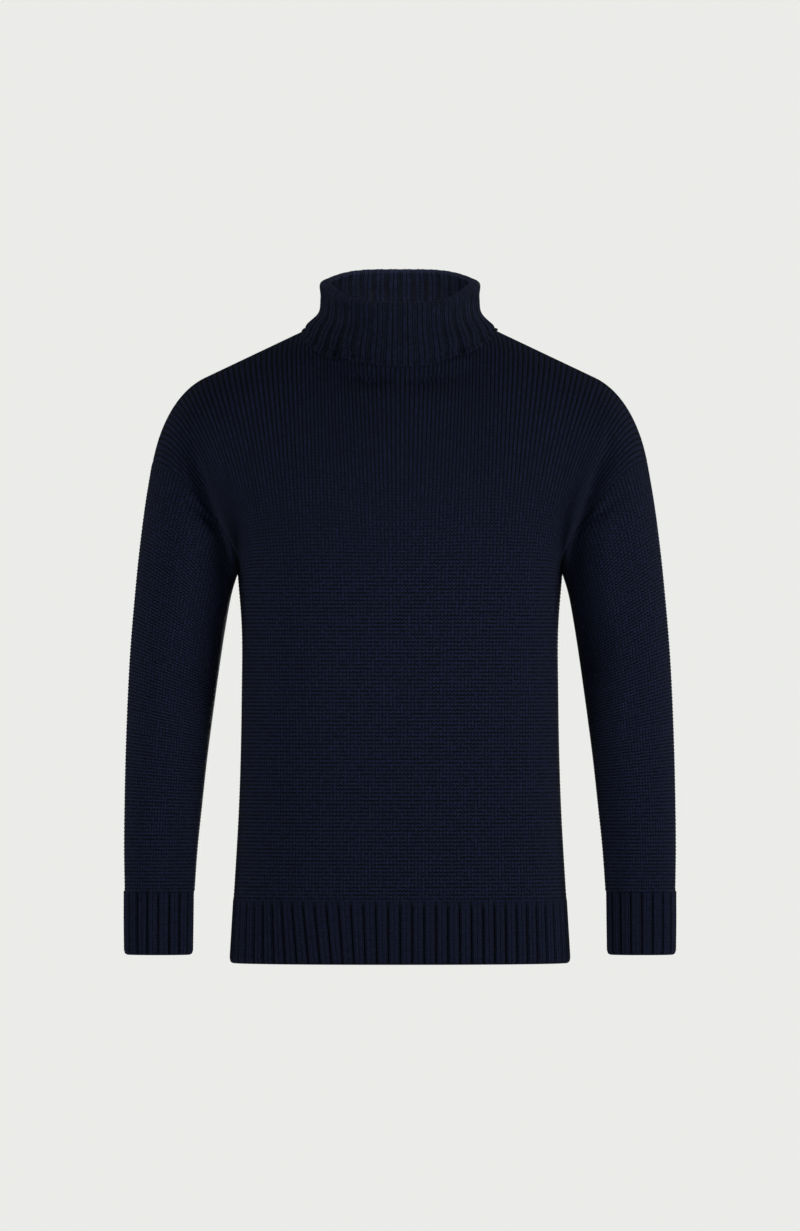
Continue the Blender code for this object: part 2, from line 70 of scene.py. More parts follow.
# The front and the back
# Two panels of plain knit in thick matt navy wool, worked up from the hem rib over the dropped
# shoulders. They are linked to each other at the sides and shoulders, where the edges roll in a little.

WALL = 0.0032
SEAM_GAP = 0.0003
HEM_HEIGHT = -0.691
HEM_RIB_TOP = -0.622

Section = namedtuple("Section", "height half_width front back squareness")
BODY = (
    Section(-0.691, 0.1862, 0.100, 0.098, 2.25),
    Section(-0.622, 0.1821, 0.103, 0.097, 2.25),
    Section(-0.513, 0.1759, 0.109, 0.094, 2.25),
    Section(-0.400, 0.1732, 0.114, 0.094, 2.30),
    Section(-0.320, 0.1733, 0.118, 0.099, 2.35),
    Section(-0.266, 0.1777, 0.121, 0.104, 2.35),
)
NECK_POINT = (0.082, 0.0100)
SHOULDER_TURN = (0.2138, -0.0526)
SHOULDER_TIP = (0.2704, -0.145)
SHOULDER_SLOPE = math.radians(26.5)
TIP_STEEPNESS = math.radians(79.5)
SHOULDER_HANDLE = 0.0365
UNDERARM = (0.1777, -0.266)
ARMHOLE_DEPTH = 0.072
ARMHOLE_BOW = 0.018

Loop = namedtuple("Loop", "half_width front back side_z front_z back_z")
NECK_SEAM = Loop(0.0820, 0.0780, 0.0560, 0.0100, -0.0250, 0.0070)

Panel = namedtuple("Panel", "side rise shoulder_reach shoulder_lift neck_reach neck_lift")
FRONT = Panel(-1, 0.265, 0.275, 0.095, 0.112, 0.165)
BACK = Panel(1, 0.265, 0.265, 0.085, 0.110, 0.110)
NECK_SHARE = 5 / 14
NECK_BLEND_START = 3 / 14
EDGE_BLEND_START = 0.70
TIP_BLEND_START = 0.62
SLOPE_STEP = 0.010
DENSE = 400

Ring = namedtuple("Ring", "share outer_x outer_z inner_x inner_z centre_y half_depth bow")
SLEEVE = (
    Ring(0.00, 0.2704, -0.1450, 0.1777, -0.2660, 0.000, 0.0720, 0.018),
    Ring(0.10, 0.2779, -0.1900, 0.1842, -0.2900, 0.002, 0.0715, 0.012),
    Ring(0.20, 0.2844, -0.2400, 0.1890, -0.3180, 0.003, 0.0690, 0.007),
    Ring(0.32, 0.2899, -0.2950, 0.1941, -0.3520, 0.003, 0.0650, 0.003),
    Ring(0.44, 0.2944, -0.3500, 0.1993, -0.3890, 0.001, 0.0605, 0.001),
    Ring(0.56, 0.2973, -0.4050, 0.2047, -0.4290, -0.003, 0.0560, 0.000),
    Ring(0.68, 0.2992, -0.4600, 0.2100, -0.4710, -0.009, 0.0505, 0.000),
    Ring(0.80, 0.3003, -0.5150, 0.2150, -0.5180, -0.017, 0.0450, 0.000),
    Ring(0.90, 0.3007, -0.5650, 0.2198, -0.5650, -0.025, 0.0395, 0.000),
    Ring(1.00, 0.2999, -0.6115, 0.2231, -0.6115, -0.032, 0.0340, 0.000),
)

# Fineness of the plain form that the collar is laid on, as the solids have it
FORM_COLUMNS = 14
FORM_LOWER_ROWS = 9
FORM_UPPER_ROWS = 11
FORM_CROWDING = 0.07

# The knit: two mesh steps to a stitch each way
STEPS_A_STITCH = 2
HALF_WALES = 60
LOWER_STITCH_ROWS = 87
UPPER_STITCH_ROWS = 76
SLEEVE_STITCH_ROWS = 122
INNER_ROWS_SKIPPED = 8
EVEN_COLUMN = 0.25
SMOOTHING_ROUNDS = 70
SMOOTHING = 0.8
NECK_SMOOTHING_ROUNDS = 160
NECK_SMOOTHING_TOP = (0, 0.12)
NECK_SMOOTHING_FOOT = (0.7, 1.0)
NECK_SMOOTHING_SIDE = (0.55, 0.8)

# Depths within one stitch, below the crest of its wale: on the breast the wales stand out, and from
# the waist down and along the sleeves the rows do
BREAST_GROOVE = 0.00080
BREAST_ROW = 0.00026
WAIST_GROOVE = 0.00034
WAIST_ROW = 0.00062
WALES_OPEN = -0.10
ROWS_OPEN = -0.28
SEAM_ROLL_DEPTH = 0.0009
SEAM_ROLL_WIDTH = 0.0045
SEAM_LAP = 0.0012

# Troughs in the cloth, each from one point of the front view to another: deep at the armholes, soft
# under the collar, along the sleeves and across the back
Crease = namedtuple("Crease", "face x1 z1 x2 z2 bend depth width outer_width")
CREASES = (
    Crease(-1, -0.224, -0.140, -0.187, -0.268, 0.004, 0.0190, 0.006, 0.018),
    Crease(-1, 0.224, -0.134, 0.186, -0.262, 0.005, 0.0180, 0.006, 0.018),
    Crease(-1, -0.2400, -0.1830, -0.2050, -0.2140, 0.001, 0.0060, 0.004, 0.006),
    Crease(-1, 0.2420, -0.1810, 0.2060, -0.2140, 0.001, 0.0050, 0.004, 0.006),
    Crease(-1, -0.2000, -0.2450, -0.2080, -0.4000, 0.001, 0.0060, 0.012, 0.014),
    Crease(-1, 0.1990, -0.2450, 0.2110, -0.4300, 0.001, 0.0080, 0.012, 0.014),
    Crease(-1, -0.0900, -0.0420, -0.0200, -0.0590, 0.000, 0.0080, 0.010, 0.010),
    Crease(-1, -0.0600, -0.0570, 0.0550, -0.0575, 0.000, 0.0045, 0.011, 0.011),
    Crease(-1, 0.0150, -0.0590, 0.0820, -0.0450, 0.000, 0.0080, 0.010, 0.010),
    Crease(1, -0.224, -0.128, -0.186, -0.246, 0.010, 0.0105, 0.012, 0.025),
    Crease(1, 0.222, -0.132, 0.186, -0.248, 0.009, 0.0105, 0.012, 0.025),
    Crease(-1, -0.196, -0.402, -0.240, -0.386, 0.004, 0.0050, 0.018, 0.018),
    Crease(-1, 0.240, -0.316, 0.206, -0.370, 0.005, 0.0055, 0.018, 0.018),
    Crease(-1, 0.200, -0.378, 0.246, -0.366, 0.004, 0.0045, 0.017, 0.017),
    Crease(1, -0.215, -0.400, -0.285, -0.370, 0.006, 0.0055, 0.020, 0.020),
    Crease(1, 0.215, -0.392, 0.283, -0.362, 0.006, 0.0055, 0.020, 0.020),
    Crease(1, -0.120, -0.470, 0.110, -0.478, 0.012, 0.0050, 0.030, 0.030),
)
CREASE_STEPS = 24
CREASE_FADE = (0.12, 0.92)
FACING_GAIN = 1.6


def smooth(table, name, at):
    """A column of a table as a smooth curve over its first column."""
    keys = np.array([row[0] for row in table])
    values = np.array([getattr(row, name) for row in table])
    slopes = np.gradient(values, keys)
    at = np.clip(at, keys[0], keys[-1])
    i = min(int(np.searchsorted(keys, at, side="right")) - 1, len(keys) - 2)
    span = keys[i + 1] - keys[i]
    return hermite(values[i], slopes[i] * span, values[i + 1], slopes[i + 1] * span, (at - keys[i]) / span)


def hermite(start, start_run, end, end_run, t):
    """The cubic from start to end that leaves and arrives along the two runs."""
    return (
        start * (2 * t**3 - 3 * t**2 + 1)
        + start_run * (t**3 - 2 * t**2 + t)
        + end * (3 * t**2 - 2 * t**3)
        + end_run * (t**3 - t**2)
    )


def ease(value, start, end=1.0):
    """0 up to start, 1 from end on, and smooth between."""
    t = np.clip((value - start) / (end - start), 0, 1)
    return t * t * (3 - 2 * t)


def unit(vectors):
    """The vectors, each made one long."""
    return vectors / np.linalg.norm(vectors, axis=-1, keepdims=True)


def distances(points):
    """How far along its line each point lies."""
    return np.concatenate([[0], np.cumsum(np.linalg.norm(np.diff(points, axis=0), axis=1))])


def along(points, shares):
    """The points at these shares of a line's length."""
    travelled = distances(points)
    at = np.asarray(shares) * travelled[-1]
    return np.stack([np.interp(at, travelled, points[:, k]) for k in range(3)], axis=1)


def body_quarter(height, side, shares):
    """Half of the front's or back's row at one height, from its middle to the side seam at +X."""
    depth = smooth(BODY, "front" if side < 0 else "back", height)
    power = 2 / smooth(BODY, "squareness", height)
    turn = np.linspace(0, math.pi / 2, DENSE)
    row = np.stack(
        [
            smooth(BODY, "half_width", height) * np.sin(turn) ** power,
            side * depth * np.maximum(np.cos(turn), 0) ** power,
            np.full(DENSE, height),
        ],
        axis=1,
    )
    return along(row, shares)


def loop_points(loop, turn, sag=2.0):
    """Points of a level or tilted ring, by their turn from the middle of the front."""
    cosine = np.cos(turn)
    front = np.maximum(cosine, 0)
    back = np.maximum(-cosine, 0)
    drop = np.power(front, sag)
    rise = back**2
    return np.stack(
        [
            loop.half_width * np.sin(turn),
            loop.back * back - loop.front * front,
            loop.side_z + (loop.front_z - loop.side_z) * drop + (loop.back_z - loop.side_z) * rise,
        ],
        axis=1,
    )


def neckline_half(side, columns):
    """The neck seam of the front or back, from its middle to the neck point at +X."""
    start = 0 if side < 0 else math.pi
    dense = loop_points(NECK_SEAM, np.linspace(start, math.pi / 2, DENSE))
    return along(dense, np.linspace(0, 1, columns + 1))


def shoulder_line(columns):
    """The shoulder seam from the neck point to the shoulder tip, at +X."""
    turn = np.array(SHOULDER_TURN)
    tip = np.array(SHOULDER_TIP)
    leave = np.array([math.cos(SHOULDER_SLOPE), -math.sin(SHOULDER_SLOPE)])
    arrive = np.array([math.cos(TIP_STEEPNESS), -math.sin(TIP_STEEPNESS)])
    t = np.linspace(0, 1, DENSE)[:, None]
    fall = hermite(turn, 3 * SHOULDER_HANDLE * leave, tip, 3 * SHOULDER_HANDLE * arrive, t)
    flat = np.concatenate([[NECK_POINT], fall])
    line = np.stack([flat[:, 0], np.zeros(len(flat)), flat[:, 1]], axis=1)
    return along(line, np.linspace(0, 1, columns + 1))


def bow_direction(outer, inner):
    """In the front view, across the line between two points and towards the neck."""
    run = inner - outer
    return unit(np.array([run[2], 0, -run[0]]))


def xz(point):
    return np.array([point[0], 0, point[1]])


def panel_rows(panel, u, heights, shares):
    """Rows of the panel's +X half: level ones at these heights, then on up by shares to its top."""
    lower = [body_quarter(height, panel.side, u) for height in heights]
    below = body_quarter(UNDERARM[1] - SLOPE_STEP, panel.side, u)
    rise = (lower[-1] - below) / SLOPE_STEP * panel.rise
    bulge = panel.side * ARMHOLE_DEPTH * np.array([0, 1, 0])
    bulge = bulge + ARMHOLE_BOW * bow_direction(xz(SHOULDER_TIP), xz(UNDERARM))
    edge = ease(u, EDGE_BLEND_START)[:, None]
    start_run = rise * (1 - edge) + 4 * bulge * edge

    neck_columns = round(NECK_SHARE * (len(u) - 1))
    shoulder = shoulder_line(len(u) - 1 - neck_columns)
    top = np.concatenate([neckline_half(panel.side, neck_columns), shoulder[1:]])
    over = np.array([0, -panel.side * panel.shoulder_reach, panel.shoulder_lift])
    to_neck = np.array([0, -panel.side * panel.neck_reach, panel.neck_lift])
    neck = ease(u, NECK_BLEND_START, NECK_SHARE)[:, None]
    tip = ease(u, TIP_BLEND_START)[:, None]
    end_run = (to_neck * (1 - neck) + over * neck) * (1 - tip) - 4 * bulge * tip
    return np.array(lower + [hermite(lower[-1], start_run, top, end_run, r) for r in shares])


def whole_panel(panel, columns, heights, shares):
    """Both halves of a panel, as rows from the top down and columns from one side to the other."""
    half = panel_rows(panel, np.linspace(0, 1, columns + 1), heights, shares)
    whole = np.concatenate([half[:, :0:-1] * [-1, 1, 1], half], axis=1)[::-1]
    return whole[:, ::-1] if panel.side < 0 else whole


def even_shares(rows):
    """Shares up the front that part its rows evenly on the cloth, from 0 at the underarm to 1."""
    fine = np.linspace(0, 1, DENSE)
    line = panel_rows(FRONT, np.linspace(0, 1, FORM_COLUMNS + 1), [UNDERARM[1]], fine[1:])
    travelled = distances(line[:, round(EVEN_COLUMN * FORM_COLUMNS)])
    return np.interp(np.linspace(0, travelled[-1], rows + 1), travelled, fine)


def form_panel(panel):
    """The panel as coarse as its solid has it."""
    heights = np.linspace(HEM_RIB_TOP, UNDERARM[1], FORM_LOWER_ROWS + 1)
    return whole_panel(panel, FORM_COLUMNS, heights, form_shares()[1:])


def form_shares():
    even = np.linspace(0, 1, FORM_UPPER_ROWS + 1)
    return even - FORM_CROWDING * np.sin(2 * math.pi * even)


def knit_panel(panel):
    """The panel with a mesh row and column for each half stitch, smoothed where its wales bend."""
    lower = np.linspace(HEM_RIB_TOP, UNDERARM[1], LOWER_STITCH_ROWS * STEPS_A_STITCH + 1)
    shares = even_shares(UPPER_STITCH_ROWS * STEPS_A_STITCH)[1:]
    grid = whole_panel(panel, HALF_WALES * STEPS_A_STITCH, lower, shares)
    for _ in range(SMOOTHING_ROUNDS):
        around = grid[:-2, 1:-1] + grid[2:, 1:-1] + grid[1:-1, :-2] + grid[1:-1, 2:]
        grid[1:-1, 1:-1] += SMOOTHING * (around / 4 - grid[1:-1, 1:-1])
    from_top = np.arange(grid.shape[0]) / (UPPER_STITCH_ROWS * STEPS_A_STITCH)
    from_middle = np.abs(np.linspace(-1, 1, grid.shape[1]))
    clear_of_ends = ease(from_top, *NECK_SMOOTHING_TOP) * (1 - ease(from_top, *NECK_SMOOTHING_FOOT))
    clear_of_sides = 1 - ease(from_middle, *NECK_SMOOTHING_SIDE)
    free = SMOOTHING * np.outer(clear_of_ends, clear_of_sides)[1:-1, 1:-1, None]
    for _ in range(NECK_SMOOTHING_ROUNDS):
        beside = grid[1:-1, :-2] + grid[1:-1, 2:]
        grid[1:-1, 1:-1] += free * (beside / 2 - grid[1:-1, 1:-1])
    return grid


def ring_half(outer, inner, centre_y, half_depth, bow, side, shares):
    """Half a ring round the arm, from the inner to the outer point over the front or back."""
    shift = np.array([0, centre_y, 0])
    bulge = side * half_depth * np.array([0, 1, 0]) + bow * bow_direction(outer, inner)
    return hermite(inner + shift, 4 * bulge, outer + shift, -4 * bulge, shares[:, None])


def knit_sleeve(hand):
    """Rings of the sleeve at +X (hand 1) or -X (hand -1), each closed, from the armhole down.

    Its wales meet every other row of the front and the back at the armhole.
    """
    shares = even_shares(UPPER_STITCH_ROWS * STEPS_A_STITCH)[::2]
    rings = []
    for share in np.linspace(0, 1, SLEEVE_STITCH_ROWS * STEPS_A_STITCH + 1):
        ring = Ring(share, *(smooth(SLEEVE, name, share) for name in Ring._fields[1:]))
        outer = np.array([ring.outer_x, 0, ring.outer_z])
        inner = np.array([ring.inner_x, 0, ring.inner_z])
        front_half = ring_half(outer, inner, ring.centre_y, ring.half_depth, ring.bow, -1, shares)
        back_half = ring_half(outer, inner, ring.centre_y, ring.half_depth, ring.bow, 1, shares)
        rings.append(np.concatenate([front_half[::-1], back_half[1:-1]]) * [hand, 1, 1])
    rings = np.array(rings)
    return rings if hand > 0 else rings[:, ::-1]


def face_normals(grid, closed):
    """The normal of each quad of a grid, twice its area long."""
    across = np.roll(grid, -1, axis=1) if closed else grid[:, 1:]
    near = grid if closed else grid[:, :-1]
    return np.cross(across[1:] - near[:-1], near[1:] - across[:-1])


def vertex_normals(grid, closed):
    """Unit normals at a grid's points."""
    total = np.zeros_like(grid)
    quads = face_normals(grid, closed)
    for down in (0, 1):
        rows = slice(down, down + quads.shape[0])
        if closed:
            total[rows] += quads + np.roll(quads, 1, axis=1)
        else:
            total[rows, :-1] += quads
            total[rows, 1:] += quads
    return unit(total)


def seam_normals(grids, closed):
    """Unit normals of pieces that are linked to each other, the same for both on their seams."""
    sums = [vertex_normals(grid, ring) for grid, ring in zip(grids, closed)]
    points = np.concatenate([grid.reshape(-1, 3) for grid in grids])
    flat = np.concatenate([total.reshape(-1, 3) for total in sums])
    _, index = np.unique(np.round(points, 6), axis=0, return_inverse=True)
    joined = np.zeros((index.max() + 1, 3))
    np.add.at(joined, index.reshape(-1), flat)
    flat = unit(joined[index.reshape(-1)])
    found, first = [], 0
    for grid, ring in zip(grids, closed):
        last = first + grid.shape[0] * grid.shape[1]
        normals = flat[first:last].reshape(grid.shape)
        first = last
        if not ring:
            between = slice(1, UPPER_STITCH_ROWS * STEPS_A_STITCH, 2)
            above = slice(0, UPPER_STITCH_ROWS * STEPS_A_STITCH - 1, 2)
            below = slice(2, UPPER_STITCH_ROWS * STEPS_A_STITCH + 1, 2)
            for side in (0, -1):
                normals[between, side] = unit(normals[above, side] + normals[below, side])
        found.append(normals)
    return found


def creased(grid, normals):
    """The grid with the soft troughs pressed in, straight back from the face that they are on."""
    sunk = np.zeros_like(grid)
    for crease in CREASES:
        t = np.linspace(0, 1, CREASE_STEPS)
        line_x = crease.x1 + (crease.x2 - crease.x1) * t
        line_z = crease.z1 + (crease.z2 - crease.z1) * t
        line_x = line_x - crease.bend * np.sin(math.pi * t) * np.sign(crease.x1)
        away = np.hypot(grid[..., 0, None] - line_x, grid[..., 2, None] - line_z)
        outer = (np.abs(grid[..., 0, None]) - np.abs(line_x)) * np.sign(crease.x1 * grid[..., 0, None])
        width = np.where(outer > 0, crease.outer_width, crease.width)
        fade = np.sqrt(np.sin(math.pi * np.linspace(*CREASE_FADE, CREASE_STEPS)))
        trough = (fade * np.exp(-((away / width) ** 2))).max(axis=2)
        facing = np.clip(FACING_GAIN * crease.face * normals[..., 1], 0, 1)
        sunk[..., 1] -= crease.face * crease.depth * trough * facing
    return grid + sunk


def linked(grid, normals, closed):
    """The grid with its edge points moved out over the seam, where the two pieces are linked."""
    moved = grid.copy()

    def shift(edge, inside, normal):
        if closed:
            run = np.roll(edge, -1, axis=0) - np.roll(edge, 1, axis=0)
        else:
            run = np.gradient(edge, axis=0)
        across = unit(np.cross(run, normal))
        inwards = np.sign(((inside - edge) * across).sum(axis=1, keepdims=True))
        return -across * inwards * SEAM_LAP / 2

    if not closed:
        moved[:, 0] += shift(grid[:, 0], grid[:, 1], normals[:, 0])
        moved[:, -1] += shift(grid[:, -1], grid[:, -2], normals[:, -1])
    moved[0] += shift(grid[0], grid[1], normals[0])
    moved[-1] += shift(grid[-1], grid[-2], normals[-1])
    return moved


def edge_distance(grid, closed):
    """How far each point lies from its piece's nearest linked edge, along the cloth.

    The foot isn't one: there the plain knit runs on into the rib.
    """
    down = np.linalg.norm(np.diff(grid, axis=0), axis=2)
    nearest = np.concatenate([np.zeros((1, grid.shape[1])), np.cumsum(down, axis=0)])
    if closed:
        return nearest
    over = np.linalg.norm(np.diff(grid, axis=1), axis=2)
    travelled = np.concatenate([np.zeros((grid.shape[0], 1)), np.cumsum(over, axis=1)], axis=1)
    return np.minimum(nearest, np.minimum(travelled, travelled[:, -1:] - travelled))


def stitched(grid, normals, closed):
    """The grid with each plain stitch raised, and its edges rolled in at the seams."""
    rows = np.arange(grid.shape[0]) % STEPS_A_STITCH == 0
    grooves = np.arange(grid.shape[1]) % STEPS_A_STITCH == 0
    waist = ease(-grid[..., 2], -WALES_OPEN, -ROWS_OPEN)
    groove = grooves[None, :] * (BREAST_GROOVE + (WAIST_GROOVE - BREAST_GROOVE) * waist)
    row = rows[:, None] * (BREAST_ROW + (WAIST_ROW - BREAST_ROW) * waist)
    depth = np.maximum(groove, row)
    apart = edge_distance(grid, closed)
    depth = depth * ease(apart, 0, SEAM_ROLL_WIDTH)
    depth = depth + SEAM_ROLL_DEPTH * (1 - ease(apart, 0, SEAM_ROLL_WIDTH))
    return grid - normals * depth[..., None]


def zipped(first, second):
    """Triangles between two lines of points that may differ in number."""
    found = []
    i, j = 0, 0
    while i < len(first) - 1 or j < len(second) - 1:
        ahead = (i + 1) * (len(second) - 1) <= (j + 1) * (len(first) - 1)
        if j == len(second) - 1 or (ahead and i < len(first) - 1):
            found.append((int(first[i]), int(first[i + 1]), int(second[j])))
            i += 1
        else:
            found.append((int(first[i]), int(second[j + 1]), int(second[j])))
            j += 1
    return found


def grid_quads(at, closed, inside):
    """The quads of one face of a shell, and the column and row of each corner."""
    rows, columns = at.shape
    i = np.arange(columns if closed else columns - 1)
    k = np.arange(rows - 1)
    j = (i + 1) % columns
    corners = [at[:-1][:, i], at[:-1][:, j], at[1:][:, j], at[1:][:, i]]
    faces = np.stack(corners, axis=2).reshape(-1, 4)
    left, top = np.meshgrid(i, k)
    places = np.stack(
        [
            np.stack([left, left + 1, left + 1, left], axis=2),
            np.stack([top, top, top + 1, top + 1], axis=2),
        ],
        axis=3,
    ).reshape(-1, 4, 2)
    return (faces[:, ::-1], places[:, ::-1]) if inside else (faces, places)


def stitch_places(corners, wales, rows):
    """The wale and the stitch row at these columns and rows of a grid."""
    return np.stack([wales[corners[..., 0]], rows[corners[..., 1]]], axis=2).reshape(-1, 2)


def knit_shell(name, outer, inner, closed, wales, rows, inner_rows):
    """One closed shell between an outer and an inner grid, with its stitches' places as a UV map."""
    outer_at = np.arange(outer.shape[0] * outer.shape[1]).reshape(outer.shape[:2])
    inner_at = np.arange(inner.shape[0] * inner.shape[1]).reshape(inner.shape[:2]) + outer_at.size
    faces, places = [], []
    top = np.stack([inner_at[0], outer_at[0]])
    foot = np.stack([outer_at[-1], inner_at[-1]])
    for at, inside, row_numbers in (
        (outer_at, False, rows),
        (inner_at, True, inner_rows),
        (top, False, rows[[0, 0]]),
        (foot, False, rows[[-1, -1]]),
    ):
        found, corners = grid_quads(at, closed, inside)
        faces += found.tolist()
        places.append(stitch_places(corners, wales, row_numbers))
    if not closed:
        number = np.concatenate([np.repeat(rows, outer.shape[1]), np.repeat(inner_rows, inner.shape[1])])
        sides = zipped(inner_at[:, 0], outer_at[:, 0])
        sides += [face[::-1] for face in zipped(inner_at[:, -1], outer_at[:, -1])]
        faces += sides
        flat = np.array(sides).ravel()
        side_wale = np.repeat([wales[0], wales[-1]], len(flat) // 2)
        places.append(np.stack([side_wale, number[flat]], axis=1))

    mesh = bpy.data.meshes.new(name)
    points = np.concatenate([outer.reshape(-1, 3), inner.reshape(-1, 3)])
    mesh.from_pydata(points.tolist(), [], faces)
    stitches = mesh.uv_layers.new(name="Stitches")
    stitches.uv.foreach_set("vector", np.concatenate(places).astype(np.float32).ravel())
    mesh.shade_smooth()
    piece = bpy.data.objects.new(name, mesh)
    bpy.context.scene.collection.objects.link(piece)
    return piece


def linear(colour):
    """An sRGB hex colour as the linear values that shaders take."""
    channels = [int(colour[i : i + 2], 16) / 255 for i in (1, 3, 5)]
    return [c / 12.92 if c <= 0.04045 else ((c + 0.055) / 1.055) ** 2.4 for c in channels] + [1.0]


def add_node(tree, kind, inputs, **settings):
    """A new node with these settings, whose inputs are values or other nodes' outputs."""
    made = tree.nodes.new(kind)
    for name, value in settings.items():
        setattr(made, name, value)
    for socket, value in inputs.items():
        if isinstance(value, bpy.types.NodeSocket):
            tree.links.new(value, made.inputs[socket])
        else:
            made.inputs[socket].default_value = value
    return made


def arithmetic(tree, operation, *values, clamp=False):
    """The outcome of one sum on numbers or other nodes' outputs."""
    inputs = dict(enumerate(values))
    return add_node(tree, "ShaderNodeMath", inputs, operation=operation, use_clamp=clamp).outputs[0]


def vector_arithmetic(tree, operation, inputs):
    return add_node(tree, "ShaderNodeVectorMath", inputs, operation=operation).outputs[0]


def eased(tree, value, start, end, low=0.0, high=1.0, kind="SMOOTHSTEP"):
    """low up to start, high from end on, and smooth between."""
    inputs = {"Value": value, "From Min": start, "From Max": end, "To Min": low, "To Max": high}
    return add_node(tree, "ShaderNodeMapRange", inputs, interpolation_type=kind).outputs[0]


def blended(tree, share, low, high):
    """low where the share is 0, high where it is 1, and in a straight line between."""
    return eased(tree, share, 0.0, 1.0, low, high, "LINEAR")


def mixed(tree, share, first, second):
    return add_node(tree, "ShaderNodeMix", {0: share, 2: first, 3: second}).outputs[0]


def noise(tree, place, size, detail=2.0):
    """Cloudy noise with marks of about this size."""
    return add_node(tree, "ShaderNodeTexNoise", {"Vector": place, "Scale": 1 / size, "Detail": detail})


# Thick woollen-spun yarn, dyed navy and knitted plain. It is matt, with a soft bloom of fibres at
# grazing angles. Its colour holds painted shade: paler on the crown of each stitch and nearly black
# between the wales.
YARN = "#191f38"
YARN_PAINTED_SHADE = "#040509"
LEG_SLANT = 1.05
LEG_SPAN = (-0.6, 0.9)
CROWN_END = 0.92
# The heart of each stitch, where its legs meet, is painted darker too, as painted shade
HEART_WIDTH = 0.22
HEART_PAINTED_SHADE = 0.5
STITCH_WANDER = 0.12
WANDER_SIZE = 0.009
FIBRE_SIZE = 0.0006
FIBRE_HEIGHT = 0.22
HEATHER_SIZE = 0.0035
HEATHER_SPAN = (0.3, 0.7)
HEATHER_TONES = (0.62, 1.1)
PATCH_SIZE = 0.005
PATCH_SPAN = (0.46, 0.60)
PATCH_FADING = 0.50
STITCH_RELIEF = 0.0011
WALES_A_RIB = 4

# Where a stitch's crown starts to fall off, how faded the painted shade of its legs is on the breast
# and from the waist down, how much painted shade its wale shows at each, and how much brightness the
# breast keeps, which paints it darker as painted shade
Weave = namedtuple("Weave", "crown legs_breast legs_waist wales_breast wales_waist breast_tone")
PLAIN_WEAVE = Weave(0.26, 0.36, 0.0, 0.16, 0.56, 0.76)
RIB_WEAVE = Weave(0.52, 0.42, 0.60, 0.0, 0.56, 1.0)

# Where the groove between two ribs starts and ends, as shares of a rib out from its crest, and how
# much of the yarn's brightness its painted shade keeps
Groove = namedtuple("Groove", "start end light")

# Where a folded collar's rib is drawn together, so that the painted shade in its grooves shows: in
# stitch rows past the fold and in metres from the middle, with the least and the most that it is
GATHERED_BELOW_FOLD = (1.0, 9.0, 0.10, 1.0)
GATHERED_AT_SIDES = (0.032, 0.076, 0.08, 1.0)
GATHERED_INSIDE = (-1.0, -3.5, 0.0, 0.75)


def stitch_crowns(tree, body, across, up, breast_to_waist, weave):
    """Each stitch's brightness, which is painted shade, and its height: a pair of legs that rise and part
    from its wale's foot.
    """
    from_heart = arithmetic(tree, "SUBTRACT", arithmetic(tree, "FRACT", across), 0.5)
    out = arithmetic(tree, "MULTIPLY", arithmetic(tree, "ABSOLUTE", from_heart), 2.0)
    slant = blended(tree, breast_to_waist, LEG_SLANT, LEG_SLANT / 3)
    slanted = arithmetic(tree, "MULTIPLY_ADD", out, slant, up)
    wave = arithmetic(tree, "COSINE", arithmetic(tree, "MULTIPLY", slanted, 2 * math.pi))
    leg = eased(tree, wave, *LEG_SPAN)
    side = eased(tree, out, weave.crown, CROWN_END, 1.0, 0.0)
    heart = eased(tree, out, 0.0, HEART_WIDTH, HEART_PAINTED_SHADE, 1.0)
    crown = arithmetic(tree, "MULTIPLY", side, heart)

    patches = noise(tree, body, PATCH_SIZE).outputs[0]
    uneven = eased(tree, patches, *PATCH_SPAN, 0.0, PATCH_FADING, "LINEAR")
    legs_even = blended(tree, breast_to_waist, weave.legs_breast, weave.legs_waist)
    wales_even = blended(tree, breast_to_waist, weave.wales_breast, weave.wales_waist)
    legs_faded = arithmetic(tree, "ADD", legs_even, uneven, clamp=True)
    wales_faded = arithmetic(tree, "SUBTRACT", wales_even, uneven, clamp=True)
    leg_seen = mixed(tree, legs_faded, leg, 1.0)
    crown_seen = mixed(tree, wales_faded, crown, 1.0)
    return arithmetic(tree, "MULTIPLY", leg_seen, crown_seen)


def painted_groove_shade(tree, across, groove):
    """Painted shade: the yarn's full brightness on the crest of each rib, and less in its groove."""
    rib_share = arithmetic(tree, "FRACT", arithmetic(tree, "DIVIDE", across, float(WALES_A_RIB)))
    off_crest = arithmetic(tree, "ABSOLUTE", arithmetic(tree, "SUBTRACT", rib_share, 0.5))
    return eased(tree, off_crest, groove.start, groove.end, 1.0, groove.light)


def gathered_share(tree, up, sideways, fold_row):
    """How far a folded collar's rib is drawn together at each place, from 0 to 1, which sets how much
    painted groove shade shows.
    """
    past_fold = arithmetic(tree, "SUBTRACT", up, fold_row)
    below = eased(tree, past_fold, *GATHERED_BELOW_FOLD)
    at_side = eased(tree, arithmetic(tree, "ABSOLUTE", sideways), *GATHERED_AT_SIDES)
    outside = arithmetic(tree, "MULTIPLY", below, at_side)
    inside = eased(tree, past_fold, *GATHERED_INSIDE)
    return arithmetic(tree, "MAXIMUM", outside, inside)


